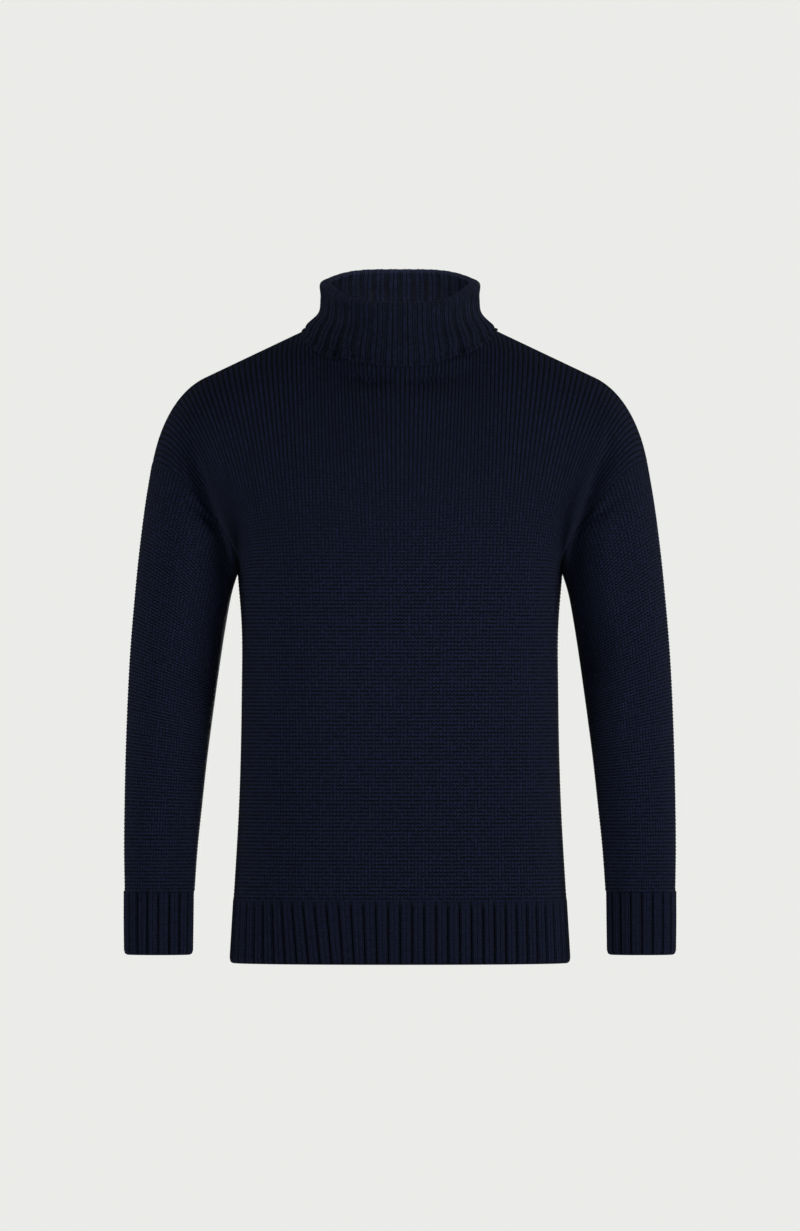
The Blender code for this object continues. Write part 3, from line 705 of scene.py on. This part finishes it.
def knitted_wool(name, yarn, painted_shade, relief, weave, groove=None, fold_row=None):
    """Matt wool knit, with painted shade between its stitches, on the breast and in the grooves of a rib.

    A collar's rib stretches flat over its fold and where it lies on the breast, so that there the
    painted shade in its grooves is paler.
    """
    material = bpy.data.materials.new(name)
    material.use_nodes = True
    tree = material.node_tree
    shader = tree.nodes["Principled BSDF"]
    place = add_node(tree, "ShaderNodeUVMap", {}, uv_map="Stitches").outputs[0]
    body = add_node(tree, "ShaderNodeTexCoord", {}).outputs["Object"]
    where = add_node(tree, "ShaderNodeSeparateXYZ", {0: body})
    drift = noise(tree, body, WANDER_SIZE).outputs["Color"]
    centred = vector_arithmetic(tree, "SUBTRACT", {0: drift, 1: (0.5, 0.5, 0.5)})
    wander = vector_arithmetic(tree, "SCALE", {0: centred, "Scale": STITCH_WANDER})
    moved = vector_arithmetic(tree, "ADD", {0: place, 1: wander})
    split = add_node(tree, "ShaderNodeSeparateXYZ", {0: moved})
    across, up = split.outputs[0], split.outputs[1]
    breast_to_waist = eased(tree, where.outputs[2], WALES_OPEN, ROWS_OPEN)
    stitch = stitch_crowns(tree, body, across, up, breast_to_waist, weave)
    fibre = noise(tree, body, FIBRE_SIZE).outputs[0]
    fuzzy = arithmetic(tree, "MULTIPLY_ADD", fibre, FIBRE_HEIGHT, stitch)
    heather = noise(tree, body, HEATHER_SIZE, 3.0).outputs[0]
    patch = eased(tree, heather, *HEATHER_SPAN, *HEATHER_TONES, "LINEAR")
    # The breast is painted darker than the waist, as painted shade, on top of the heather's random tone
    heather_and_breast_shade = arithmetic(tree, "MULTIPLY", patch, blended(tree, breast_to_waist, weave.breast_tone, 1.0))
    painted_brightness = arithmetic(tree, "MULTIPLY", stitch, heather_and_breast_shade)
    # Painted shade in the grooves of a rib
    if groove:
        groove_painted_shade = painted_groove_shade(tree, across, groove)
        if fold_row:
            groove_painted_shade = mixed(tree, gathered_share(tree, up, where.outputs[0], fold_row), 1.0, groove_painted_shade)
        painted_brightness = arithmetic(tree, "MULTIPLY", painted_brightness, groove_painted_shade)
    # The colour runs from the near-black painted shade up to the yarn's own colour
    tones = {0: painted_brightness, 6: linear(painted_shade), 7: linear(yarn)}
    colour = add_node(tree, "ShaderNodeMix", tones, data_type="RGBA").outputs[2]
    bump = add_node(tree, "ShaderNodeBump", {"Height": fuzzy, "Distance": relief, "Strength": 0.9})
    tree.links.new(colour, shader.inputs["Base Color"])
    tree.links.new(bump.outputs[0], shader.inputs["Normal"])
    shader.inputs["Roughness"].default_value = 0.90
    shader.inputs["Specular IOR Level"].default_value = 0.05
    shader.inputs["Sheen Weight"].default_value = 0.012
    shader.inputs["Sheen Roughness"].default_value = 0.40
    return material


plain_wool = knitted_wool("plain_knit_navy_wool", YARN, YARN_PAINTED_SHADE, STITCH_RELIEF, PLAIN_WEAVE)


def dressed(name, shell, material):
    """A shell in its wool, in place of the solid of this name."""
    shell.data.materials.append(material)
    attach(shell, "root")
    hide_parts(name)
    return shell


def knitted_piece(name, grid, normals, closed, material):
    """A plain-knit piece on this grid, which replaces the solid of its name."""
    grid = linked(grid, normals, closed)
    outer = stitched(grid, normals, closed)
    kept = np.arange(0, grid.shape[0], INNER_ROWS_SKIPPED)
    kept = np.append(kept[kept < grid.shape[0] - 1], grid.shape[0] - 1)
    inner = (grid - normals * WALL)[kept]
    wales = np.arange(grid.shape[1] + 1) / STEPS_A_STITCH
    rows = np.arange(grid.shape[0]) / STEPS_A_STITCH
    shell = knit_shell(f"{name}_knit", outer, inner, closed, wales, rows, rows[kept])
    return dressed(name, shell, material)


cloth = [knit_panel(FRONT), knit_panel(BACK), knit_sleeve(1), knit_sleeve(-1)]
tubes = (False, False, True, True)
cloth = [creased(grid, normals) for grid, normals in zip(cloth, seam_normals(cloth, tubes))]
cloth_normals = seam_normals(cloth, tubes)
for normals in cloth_normals:
    normals[-1] = unit(normals[-1] * [1, 1, 0])
front = knitted_piece("body_front", cloth[0], cloth_normals[0], False, plain_wool)
back = knitted_piece("body_back", cloth[1], cloth_normals[1], False, plain_wool)


# The sleeves
# Plain-knit tubes set on at the dropped armhole seam, narrowing to the cuffs. They bend a little
# forwards below the elbow, where the cloth breaks into short soft creases.

for name, grid, normals in zip(("sleeve_left", "sleeve_right"), cloth[2:], cloth_normals[2:]):
    sleeve = knitted_piece(name, grid, normals, True, plain_wool)


# The hem's rib
# A band of two-by-two rib knitted on at the foot of the front and the back. It draws in a little, so
# the plain wales between its ribs close up into narrow grooves, which are also painted dark as painted
# shade.

HEM_RIBS = 72
RIB_DEPTH = 0.0022
RIB_WALL = WALL + RIB_DEPTH / 2
HEM_STITCH_ROWS = 17
RIB_ROW_STEPS = 3
RIB_OPENING = 0.010
HEM_FOOT = 0.008
HEM_FOOT_INSET = 0.0034
HEM_LEAN = 0.022
HEM_LEAN_AT = 0.27
HEM_LEAN_WIDTH = 0.13
RIB_YARN = "#111528"
RIB_RELIEF = 0.0008
# Painted shade in the grooves between the ribs
HEM_GROOVE = Groove(0.30, 0.46, 0.15)

# Across one rib, as shares of it: its points, and where each of its four wales ends
RIB_POINTS = (0, 0.05, 0.10, 0.15, 0.20, 0.28, 0.40, 0.50, 0.60, 0.72, 0.80, 0.85, 0.90, 0.95)
WALE_ENDS = (0, 0.15, 0.50, 0.85, 1.0)
RIB_SHOULDER = 0.62
RIB_HEART = 0.22
RIB_HEART_DIP = 0.00050
RIB_STITCH_RELIEF = 0.00022


def rib_profile(ribs, closed, shoulder=RIB_SHOULDER):
    """Shares along a ribbed edge, how deep in a groove each lies, and its place in wales."""
    local = np.tile(RIB_POINTS, ribs)
    shares = (np.repeat(np.arange(ribs), len(RIB_POINTS)) + local) / ribs
    if not closed:
        shares, local = np.append(shares, 1.0), np.append(local, 0.0)
    from_crest = np.abs(local - 0.5) * 2
    groove = ease(from_crest, shoulder)
    heart = 1 - ease(from_crest, 0, RIB_HEART)
    rib_number = np.floor(shares * ribs + 1e-6)
    wales = np.interp(local, WALE_ENDS, range(len(WALE_ENDS))) + WALES_A_RIB * rib_number
    return shares, groove, heart, np.append(wales, wales[-1] + 0.5)


def stitch_height(wales, rows):
    """How high the knit stands at each place of a ribbed piece, from 0 to 1, as legs that rise and part."""
    out = np.abs(wales % 1 - 0.5) * 2
    leg = ease(np.cos(2 * math.pi * (rows + LEG_SLANT * out)), -1, 0.8)
    return leg * (1 - ease(out, 0.6, 1.0))


ribbed_wool = knitted_wool(
    "two_by_two_rib_navy_wool", RIB_YARN, YARN_PAINTED_SHADE, RIB_RELIEF, RIB_WEAVE, HEM_GROOVE
)


def sunk_rib(groove, heart, wales, row_number, opened, above_foot, inset):
    """How deep a ribbed row's points lie: in its grooves and stitches, and rounded in at the foot."""
    round_in = inset * (1 - math.sqrt(1 - max(1 - above_foot, 0) ** 2))
    sunk = (groove * RIB_DEPTH + heart * RIB_HEART_DIP) * opened + round_in
    return sunk + RIB_STITCH_RELIEF * (1 - stitch_height(wales[:-1], row_number))


def ends_and_middle(rows):
    """The first, middle and last of some rows, which are enough for a rib's plain inside."""
    return np.array([rows[0], rows[len(rows) // 2], rows[-1]])


def hem_rib(name, side):
    """Half of the ribbed hem, between the side seams."""
    shares, groove, heart, wales = rib_profile(HEM_RIBS // 2, False)
    levels = np.linspace(HEM_RIB_TOP - SEAM_GAP / 2, HEM_HEIGHT, HEM_STITCH_ROWS * RIB_ROW_STEPS + 1)
    rows = np.arange(len(levels)) / RIB_ROW_STEPS
    lean = HEM_LEAN * np.exp(-(((shares - HEM_LEAN_AT) / HEM_LEAN_WIDTH) ** 2)) * np.sin(math.pi * shares)
    outer, inner = [], []
    for level, row_number in zip(levels, rows):
        half = body_quarter(level, side, np.linspace(0, 1, DENSE))
        share_up = (level - HEM_HEIGHT) / (HEM_RIB_TOP - HEM_HEIGHT)
        row = along(np.concatenate([half[:0:-1] * [-1, 1, 1], half]), shares + lean * (0.5 - share_up))
        run = np.gradient(row, axis=0) * [1, 1, 0]
        normal = unit(np.stack([-side * run[:, 1], side * run[:, 0], run[:, 2]], axis=1))
        above_foot = (level - HEM_HEIGHT) / HEM_FOOT
        opened = ease(HEM_RIB_TOP - level, 0, RIB_OPENING)
        sunk = sunk_rib(groove, heart, wales, row_number, opened, above_foot, HEM_FOOT_INSET)
        outer.append(row - normal * sunk[:, None])
        inner.append(row - normal * RIB_WALL)
    outer, inner = np.array(outer), ends_and_middle(inner)
    for grid in (outer, inner):
        grid[:, [0, -1], 1] = side * SEAM_GAP / 2
    if side < 0:
        outer, inner = outer[:, ::-1], inner[:, ::-1]
    shell = knit_shell(f"{name}_knit", outer, inner, False, wales, rows, ends_and_middle(rows))
    return dressed(name, shell, ribbed_wool)


for name, side in (("hem_rib_front", -1), ("hem_rib_back", 1)):
    hem_rib(name, side)


# The cuffs
# Tubes of the same rib, picked up at the sleeve's foot, which they gather in.

CUFF_SEAM_HEIGHT = -0.6115
CUFF_HEIGHT = -0.6812
CUFF_RIBS = 18
CUFF_STITCH_ROWS = 18

Cuff = namedtuple("Cuff", "height centre_x half_width centre_y half_depth")
CUFF = (
    Cuff(-0.6830, 0.2626, 0.0377, -0.0378, 0.0304),
    Cuff(-0.6450, 0.2626, 0.0382, -0.0350, 0.0305),
    Cuff(-0.6118, 0.2624, 0.0384, -0.0320, 0.0310),
)
CUFF_FOOT = 0.0065
CUFF_FOOT_INSET = 0.0036


def cuff(name, hand):
    """A ribbed cuff, one tube."""
    shares, groove, heart, wales = rib_profile(CUFF_RIBS, True)
    turn = np.linspace(0, 2 * math.pi, DENSE)
    circle = np.stack([np.sin(turn), -np.cos(turn), 0 * turn], axis=1)
    levels = np.linspace(CUFF_SEAM_HEIGHT - SEAM_GAP, CUFF_HEIGHT, CUFF_STITCH_ROWS * RIB_ROW_STEPS + 1)
    rows = np.arange(len(levels)) / RIB_ROW_STEPS
    outer, inner = [], []
    for level, row_number in zip(levels, rows):
        centre = np.array([smooth(CUFF, "centre_x", level), smooth(CUFF, "centre_y", level), level])
        width = smooth(CUFF, "half_width", level)
        depth = smooth(CUFF, "half_depth", level)
        row = along(centre + circle * [width, depth, 0], shares)
        normal = unit((row - centre) / [width**2, depth**2, 1])
        above_foot = (level - CUFF_HEIGHT) / CUFF_FOOT
        opened = ease(CUFF_SEAM_HEIGHT - level, 0, RIB_OPENING / 2)
        sunk = sunk_rib(groove, heart, wales, row_number, opened, above_foot, CUFF_FOOT_INSET)
        outer.append(row - normal * sunk[:, None])
        inner.append(row - normal * RIB_WALL)
    outer, inner = np.array(outer) * [hand, 1, 1], ends_and_middle(inner) * [hand, 1, 1]
    if hand > 0:
        outer, inner = outer[:, ::-1], inner[:, ::-1]
    shell = knit_shell(f"{name}_knit", outer, inner, True, wales, rows, ends_and_middle(rows))
    return dressed(name, shell, ribbed_wool)


for hand, name in ((1, "cuff_left"), (-1, "cuff_right")):
    cuff(name, hand)


# The roll collar
# One ribbed tube picked up round the neck. It rises, folds over thick and soft, and lies down outside
# on the shoulders, where its ribs fan out to a cast-off edge like a chain.

NECK_SEAM_GAP = 0.0006
COLLAR_WALL = 0.0042
COLLAR_SEAT = 0.0014
Fold = namedtuple("Fold", "half_width front back side_z front_z back_z front_flatness back_flatness")
COLLAR_INSIDE = (
    Fold(0.0770, 0.0775, 0.0545, 0.0300, -0.0020, 0.0370, 3.0, 4.0),
    Fold(0.0768, 0.0750, 0.0540, 0.0460, 0.0190, 0.0570, 3.6, 5.0),
)
FOLD = Fold(0.0812, 0.0800, 0.0590, 0.0488, 0.0228, 0.0614, 3.6, 3.8)
FOLD_RADIUS = 0.0055
FOLD_ANGLES = (150, 90, 30)
COLLAR_OUTSIDE = (
    Fold(0.0868, 0.0868, 0.0650, 0.0350, 0.0100, 0.0420, 2.6, 4.0),
    Fold(0.0888, 0.0890, 0.0690, 0.0190, -0.0070, 0.0220, 2.2, 3.0),
    Fold(0.0965, 0.0925, 0.0740, 0.0078, -0.0240, 0.0030, 1.9, 2.0),
)
FREE_EDGE = Loop(0.1060, 0.0970, 0.0790, -0.0020, -0.0405, -0.0200)
EDGE_SAG_RIGHT = 0.55
EDGE_SAG_LEFT = 1.30
COLLAR_RIBS = 32
COLLAR_RIB_DEPTH = 0.0026
COLLAR_RIB_SHOULDER = 0.45
COLLAR_STITCH_ROWS = 36
COLLAR_HIDDEN_ROWS = 12
FORM_RIB_STOPS = (0.0, 0.24, 0.76)
SEATING_ROUNDS = 16
SEATING_DOWN = (0, 1 / 4, 1 / 2, 3 / 4)
SEATING_ACROSS = (0, 1 / 2)
COLLAR_STITCH_RELIEF = 0.00025
FOLD_RIB = 0.10
FRONT_RIB = 0.24
SIDE_RIB = 0.80
INSIDE_RIB = 0.60
EDGE_THINNING = 0.0024
EDGE_THINNING_WIDTH = 0.016
SIDE_THINNING = 0.35
EDGE_LOWERED = 0.0013
FOLD_FROM_EDGE = 0.070
RIB_OPENS_BELOW = (0.004, 0.055)
RIB_OPENS_INSIDE = (0.006, 0.030)
COLLAR_YARN = "#13182b"
# The near-black painted shade between the collar's stitches, and the painted shade in its rib grooves
COLLAR_PAINTED_SHADE = "#04050a"
COLLAR_GROOVE = Groove(0.27, 0.42, 0.32)

# The cast-off edge: a chain of uneven links, lower at the sides, under a fine line
CAST_OFF_WIDTH = 0.0052
CAST_OFF_START = 0.6
CAST_OFF_FLATTENS = 0.7
CAST_OFF_HEIGHT = 0.0016
CAST_OFF_LINE = 0.0012
CAST_OFF_LINE_AT = 1.25
CAST_OFF_LINE_WIDTH = 0.3
SIDE_CAST_OFF_LOST = 0.7
CHAIN_LOW = 0.35
CHAIN_UNEVEN = 0.25
CHAIN_SHORT_WAVE = 1.7
CHAIN_LONG_WAVE = 0.61


def neck_seam_ring(shares):
    """The body's neck edge all round, from the middle of the front over +X."""
    front_half = neckline_half(-1, FORM_COLUMNS)
    back_half = neckline_half(1, FORM_COLUMNS)[::-1]
    half = np.concatenate([front_half, back_half[1:]])
    whole = np.concatenate([half, half[-2::-1] * [-1, 1, 1]])
    return along(whole, shares)


def collar_ring(loop, shares):
    """A ring of the collar, level over the back and the sides, which dips in the middle of the front."""
    turn = np.linspace(0, 2 * math.pi, 4 * DENSE)
    ring = loop_points(loop, turn)
    across = np.abs(np.sin(turn))
    dip = 1 - across**loop.front_flatness
    rise = 1 - across**loop.back_flatness
    front = np.cos(turn) > 0
    end = np.where(front, loop.front_z, loop.back_z)
    ring[:, 2] = loop.side_z + (end - loop.side_z) * np.where(front, dip, rise)
    return along(ring, shares)


def free_edge_ring(shares):
    """The collar's edge, which sags lower and rounder on the wearer's right."""
    turn = np.linspace(0, 2 * math.pi, 4 * DENSE)
    tilt = EDGE_SAG_RIGHT + (EDGE_SAG_LEFT - EDGE_SAG_RIGHT) * (1 + np.sin(turn)) / 2
    return along(loop_points(FREE_EDGE, turn, tilt), shares)


def surface_of(grids):
    """The outer faces of some grids, to lay another piece on."""
    points, faces = [], []
    for grid in grids:
        at = np.arange(grid.shape[0] * grid.shape[1]).reshape(grid.shape[:2]) + len(points)
        points += [Vector(point) for point in grid.reshape(-1, 3)]
        faces += grid_quads(at, False, False)[0].tolist()
    return BVHTree.FromPolygons(points, faces)


def seated(visible, first, body):
    """The collar's face with its rows from the first one on clear of the body, and its edge on it."""
    face = visible.copy()
    last = len(face) - 1
    columns = face.shape[1]
    between = [(down, across) for down in SEATING_DOWN for across in SEATING_ACROSS]
    for _ in range(SEATING_ROUNDS):
        hidden = face - vertex_normals(face, True) * COLLAR_WALL
        beside = np.roll(hidden, -1, axis=1)
        most = np.zeros(face.shape[:2])
        push = np.zeros_like(face)
        for row in range(first, last + 1):
            below = min(row + 1, last)
            for down, across in between:
                line = hidden[row] * (1 - across) + beside[row] * across
                lower = hidden[below] * (1 - across) + beside[below] * across
                for i, point in enumerate(line * (1 - down) + lower * down):
                    near, normal, _, _ = body.find_nearest(Vector(point))
                    short = COLLAR_SEAT - (Vector(point) - near).dot(normal)
                    on_edge = row == last and across == 0
                    for k, share in ((row, 1 - down), (below, down)):
                        for c in (i, (i + 1) % columns) if across else (i,):
                            if short * share > most[k, c] or (on_edge and most[k, c] == 0):
                                most[k, c] = max(short * share, 0)
                                push[k, c] = np.array(normal) * short * share
        face += push
    return face


def curve_through(values, knots, at):
    """Smooth curves through rows of points at these knots, read at some places."""
    slopes = np.gradient(values, knots, axis=0)
    i = np.clip(np.searchsorted(knots, at, side="right") - 1, 0, len(knots) - 2)
    shape = (-1,) + (1,) * (values.ndim - 1)
    span = (knots[i + 1] - knots[i]).reshape(shape)
    t = (at - knots[i]).reshape(shape) / span
    return hermite(values[i], slopes[i] * span, values[i + 1], slopes[i + 1] * span, t)


def collar_form(body):
    """The collar's visible face as coarse as its solid has it, and the shares of its columns."""
    shares = np.array([(rib + stop) / COLLAR_RIBS for rib in range(COLLAR_RIBS) for stop in FORM_RIB_STOPS])
    seam = neck_seam_ring(shares) + [0, 0, NECK_SEAM_GAP]
    rows = [collar_ring(loop, shares) for loop in COLLAR_INSIDE]
    centre = collar_ring(FOLD, shares)
    outward = unit(centre * [1, 1, 0])
    for degrees in FOLD_ANGLES:
        angle = math.radians(degrees)
        rows.append(centre + FOLD_RADIUS * (outward * math.cos(angle) + np.array([0, 0, math.sin(angle)])))
    rows += [collar_ring(loop, shares) for loop in COLLAR_OUTSIDE]
    rows.append(free_edge_ring(shares))
    start = seam - unit(seam * [1, 1, 0]) * COLLAR_WALL
    visible = np.array([start] + rows)[:, ::-1]
    return seated(visible, len(visible) - len(COLLAR_OUTSIDE), body), 1 - shares[::-1]


def refined(face, knots, shares, rows):
    """A coarse closed face on finer rows and columns."""
    round_knots = np.concatenate([knots[-2:] - 1, knots, knots[:2] + 1])
    wide = np.concatenate([face[:, -2:], face, face[:, :2]], axis=1)
    fine = curve_through(wide.transpose(1, 0, 2), round_knots, shares).transpose(1, 0, 2)
    steps = np.linalg.norm(np.diff(fine, axis=0), axis=2).mean(axis=1)
    travelled = np.concatenate([[0], np.cumsum(steps)])
    return curve_through(fine, travelled, np.linspace(0, travelled[-1], rows + 1)), travelled[-1]


def cast_off_chain(to_edge, wales, round_neck):
    """How far the cast-off chain stands out of the collar, less the fine line above it."""
    width = CAST_OFF_WIDTH
    swell = np.sin(math.pi * np.clip(to_edge / width, 0, 1))
    waves = np.sin(CHAIN_SHORT_WAVE * wales) * np.sin(CHAIN_LONG_WAVE * wales + 1)
    link = CHAIN_LOW + (1 - CHAIN_LOW) * np.abs(np.sin(math.pi / 2 * wales))
    uneven_link = link * (1 - CHAIN_UNEVEN + CHAIN_UNEVEN * waves)
    chain = CAST_OFF_HEIGHT * np.outer(swell, uneven_link) * (1 - SIDE_CAST_OFF_LOST * round_neck**6)
    off_line = (to_edge - CAST_OFF_LINE_AT * width) / (CAST_OFF_LINE_WIDTH * width)
    return chain - CAST_OFF_LINE * np.exp(-(off_line**2))[:, None]


def collar_sunk(shares, groove, heart, wales, row_numbers, to_edge):
    """How deep each point of the collar's face lies, by its rib, its stitch and its place."""
    round_neck = np.abs(np.sin(2 * math.pi * shares))[None, :]
    below_fold = ease(FOLD_FROM_EDGE - to_edge, *RIB_OPENS_BELOW)[:, None]
    inside = ease(to_edge - FOLD_FROM_EDGE, *RIB_OPENS_INSIDE)[:, None]
    opens_below = FRONT_RIB + SIDE_RIB * round_neck**2 - FOLD_RIB
    rib_seen = FOLD_RIB + opens_below * below_fold + INSIDE_RIB * inside
    at_cast_off = 1 - ease(to_edge, CAST_OFF_START * CAST_OFF_WIDTH, CAST_OFF_WIDTH)[:, None]
    rib = (groove * COLLAR_RIB_DEPTH + heart * RIB_HEART_DIP)[None, :]
    sunk = rib * rib_seen * (1 - CAST_OFF_FLATTENS * at_cast_off)
    sunk = sunk + COLLAR_STITCH_RELIEF * (1 - stitch_height(wales[None, :], row_numbers[:, None]))
    thinned = EDGE_THINNING * (1 + SIDE_THINNING * round_neck**4)
    sunk = sunk + thinned * (1 - ease(to_edge, 0, EDGE_THINNING_WIDTH))[:, None]
    return sunk - cast_off_chain(to_edge, wales, round_neck)


body_form = []
for panel in (FRONT, BACK):
    grid = form_panel(panel)
    body_form.append(creased(grid, vertex_normals(grid, False)))
coarse, coarse_shares = collar_form(surface_of(body_form))
shares, groove, heart, wales = rib_profile(COLLAR_RIBS, True, COLLAR_RIB_SHOULDER)
steps_down = COLLAR_STITCH_ROWS * RIB_ROW_STEPS
visible, collar_length = refined(coarse, coarse_shares, shares, steps_down)
normals = vertex_normals(visible, True)
normals[0] = unit(normals[0] * [1, 1, 0])
row_numbers = np.arange(steps_down + 1) / RIB_ROW_STEPS
to_edge = collar_length * (1 - np.arange(steps_down + 1) / steps_down)
lowered = EDGE_LOWERED * (1 - ease(to_edge, 0, 3 * EDGE_THINNING_WIDTH))[:, None]
sunk = collar_sunk(shares, groove, heart, wales[:-1], row_numbers, to_edge) + lowered
ribbed = visible - normals * sunk[..., None]
kept = np.unique(np.linspace(0, steps_down, COLLAR_HIDDEN_ROWS + 1).round().astype(int))
hidden = (visible - normals * (COLLAR_WALL + lowered)[..., None])[kept]
FOLD_ROW = COLLAR_STITCH_ROWS * (1 - FOLD_FROM_EDGE / collar_length)
collar_wool = knitted_wool(
    "soft_two_by_two_rib_navy_wool",
    COLLAR_YARN,
    COLLAR_PAINTED_SHADE,
    RIB_RELIEF,
    RIB_WEAVE,
    COLLAR_GROOVE,
    FOLD_ROW,
)
collar_shell = knit_shell("collar_knit", ribbed, hidden, True, wales, row_numbers, row_numbers[kept])
collar = dressed("collar", collar_shell, collar_wool)


# The setting
# A pale floor well below the hem, soft light from both sides, with a low strip across the front and a
# little from above and behind, and a long lens at the height of the sweater's middle, so that the hem
# reads as a level line.

VIEW_HEIGHT = 1.342
VIEW_CENTRE = -0.3123
CAMERA_DISTANCE = 16.0
SENSOR = 36.0
FLOOR_HEIGHT = -1.15
FLOOR_SIZE = 4.6
BACKGROUND = "#ebece9"
ROOM_LIGHT = 0.16

bpy.ops.mesh.primitive_plane_add(size=FLOOR_SIZE, location=(0, 0, FLOOR_HEIGHT))
floor = bpy.context.active_object
floor.name = "floor"
floor_paint = bpy.data.materials.new("matt_pale_floor")
floor_paint.use_nodes = True
floor_shader = floor_paint.node_tree.nodes["Principled BSDF"]
floor_shader.inputs["Base Color"].default_value = linear("#e4e5e2")
floor_shader.inputs["Roughness"].default_value = 0.9
floor.data.materials.append(floor_paint)

# The paper behind is pale to the camera, while the room around gives only a dim, even light
world = bpy.data.worlds.new("pale_studio")
bpy.context.scene.world = world
world.use_nodes = True
studio = world.node_tree
paper = studio.nodes["Background"]
paper.inputs["Color"].default_value = linear(BACKGROUND)
room = add_node(studio, "ShaderNodeBackground", {"Color": linear("#dfe4ee"), "Strength": ROOM_LIGHT})
seen = add_node(studio, "ShaderNodeLightPath", {}).outputs["Is Camera Ray"]
both = add_node(studio, "ShaderNodeMixShader", {0: seen, 1: room.outputs[0], 2: paper.outputs[0]})
studio.links.new(both.outputs[0], studio.nodes["World Output"].inputs["Surface"])

Lamp = namedtuple("Lamp", "name place aim width height power")
LAMPS = (
    Lamp("right_softbox", (3.1, -1.7, -0.20), (0, 0, VIEW_CENTRE), 1.2, 1.2, 108.0),
    Lamp("left_softbox", (-3.1, -1.7, -0.20), (0, 0, VIEW_CENTRE), 1.2, 1.2, 74.0),
    Lamp("front_strip", (0.10, -0.50, -0.32), (0.10, 0, -0.32), 2.4, 0.10, 1.8),
    Lamp("overhead_softbox", (0.3, -0.6, 2.3), (0, 0, VIEW_CENTRE), 0.6, 0.6, 14.0),
    Lamp("back_softbox", (0.5, 4.2, 0.10), (0, 0, VIEW_CENTRE), 1.2, 1.2, 190.0),
)
for lamp in LAMPS:
    light = bpy.data.lights.new(lamp.name, "AREA")
    light.shape = "RECTANGLE"
    light.size = lamp.width
    light.size_y = lamp.height
    light.energy = lamp.power
    stand = bpy.data.objects.new(lamp.name, light)
    stand.location = lamp.place
    stand.visible_camera = False
    aim = Vector(lamp.aim) - stand.location
    stand.rotation_euler = aim.to_track_quat("-Z", "Y").to_euler()
    bpy.context.scene.collection.objects.link(stand)

# A narrow lamp from above the front shines into the neck
SNOOT_PLACE = Vector((0, -0.95, 1.60))
SNOOT_AIM = Vector((0, 0.055, 0.030))
SNOOT_SPREAD = math.radians(6.5)
snoot = bpy.data.lights.new("neck_snoot", "SPOT")
snoot.energy = 340.0
snoot.spot_size = SNOOT_SPREAD
snoot.spot_blend = 0.6
snoot.shadow_soft_size = 0.06
snoot_stand = bpy.data.objects.new("neck_snoot", snoot)
snoot_stand.location = SNOOT_PLACE
snoot_stand.rotation_euler = (SNOOT_AIM - SNOOT_PLACE).to_track_quat("-Z", "Y").to_euler()
bpy.context.scene.collection.objects.link(snoot_stand)

camera_data = bpy.data.cameras.new("camera")
camera_data.sensor_fit = "AUTO"
camera_data.sensor_width = SENSOR
camera_data.lens = SENSOR * CAMERA_DISTANCE / VIEW_HEIGHT
camera_data.clip_end = 100
camera = bpy.data.objects.new("camera", camera_data)
camera.location = (0, -CAMERA_DISTANCE, VIEW_CENTRE)
camera.rotation_euler = (math.radians(90), 0, 0)
bpy.context.scene.collection.objects.link(camera)
bpy.context.scene.camera = camera
bpy.context.scene.view_settings.view_transform = "Standard"
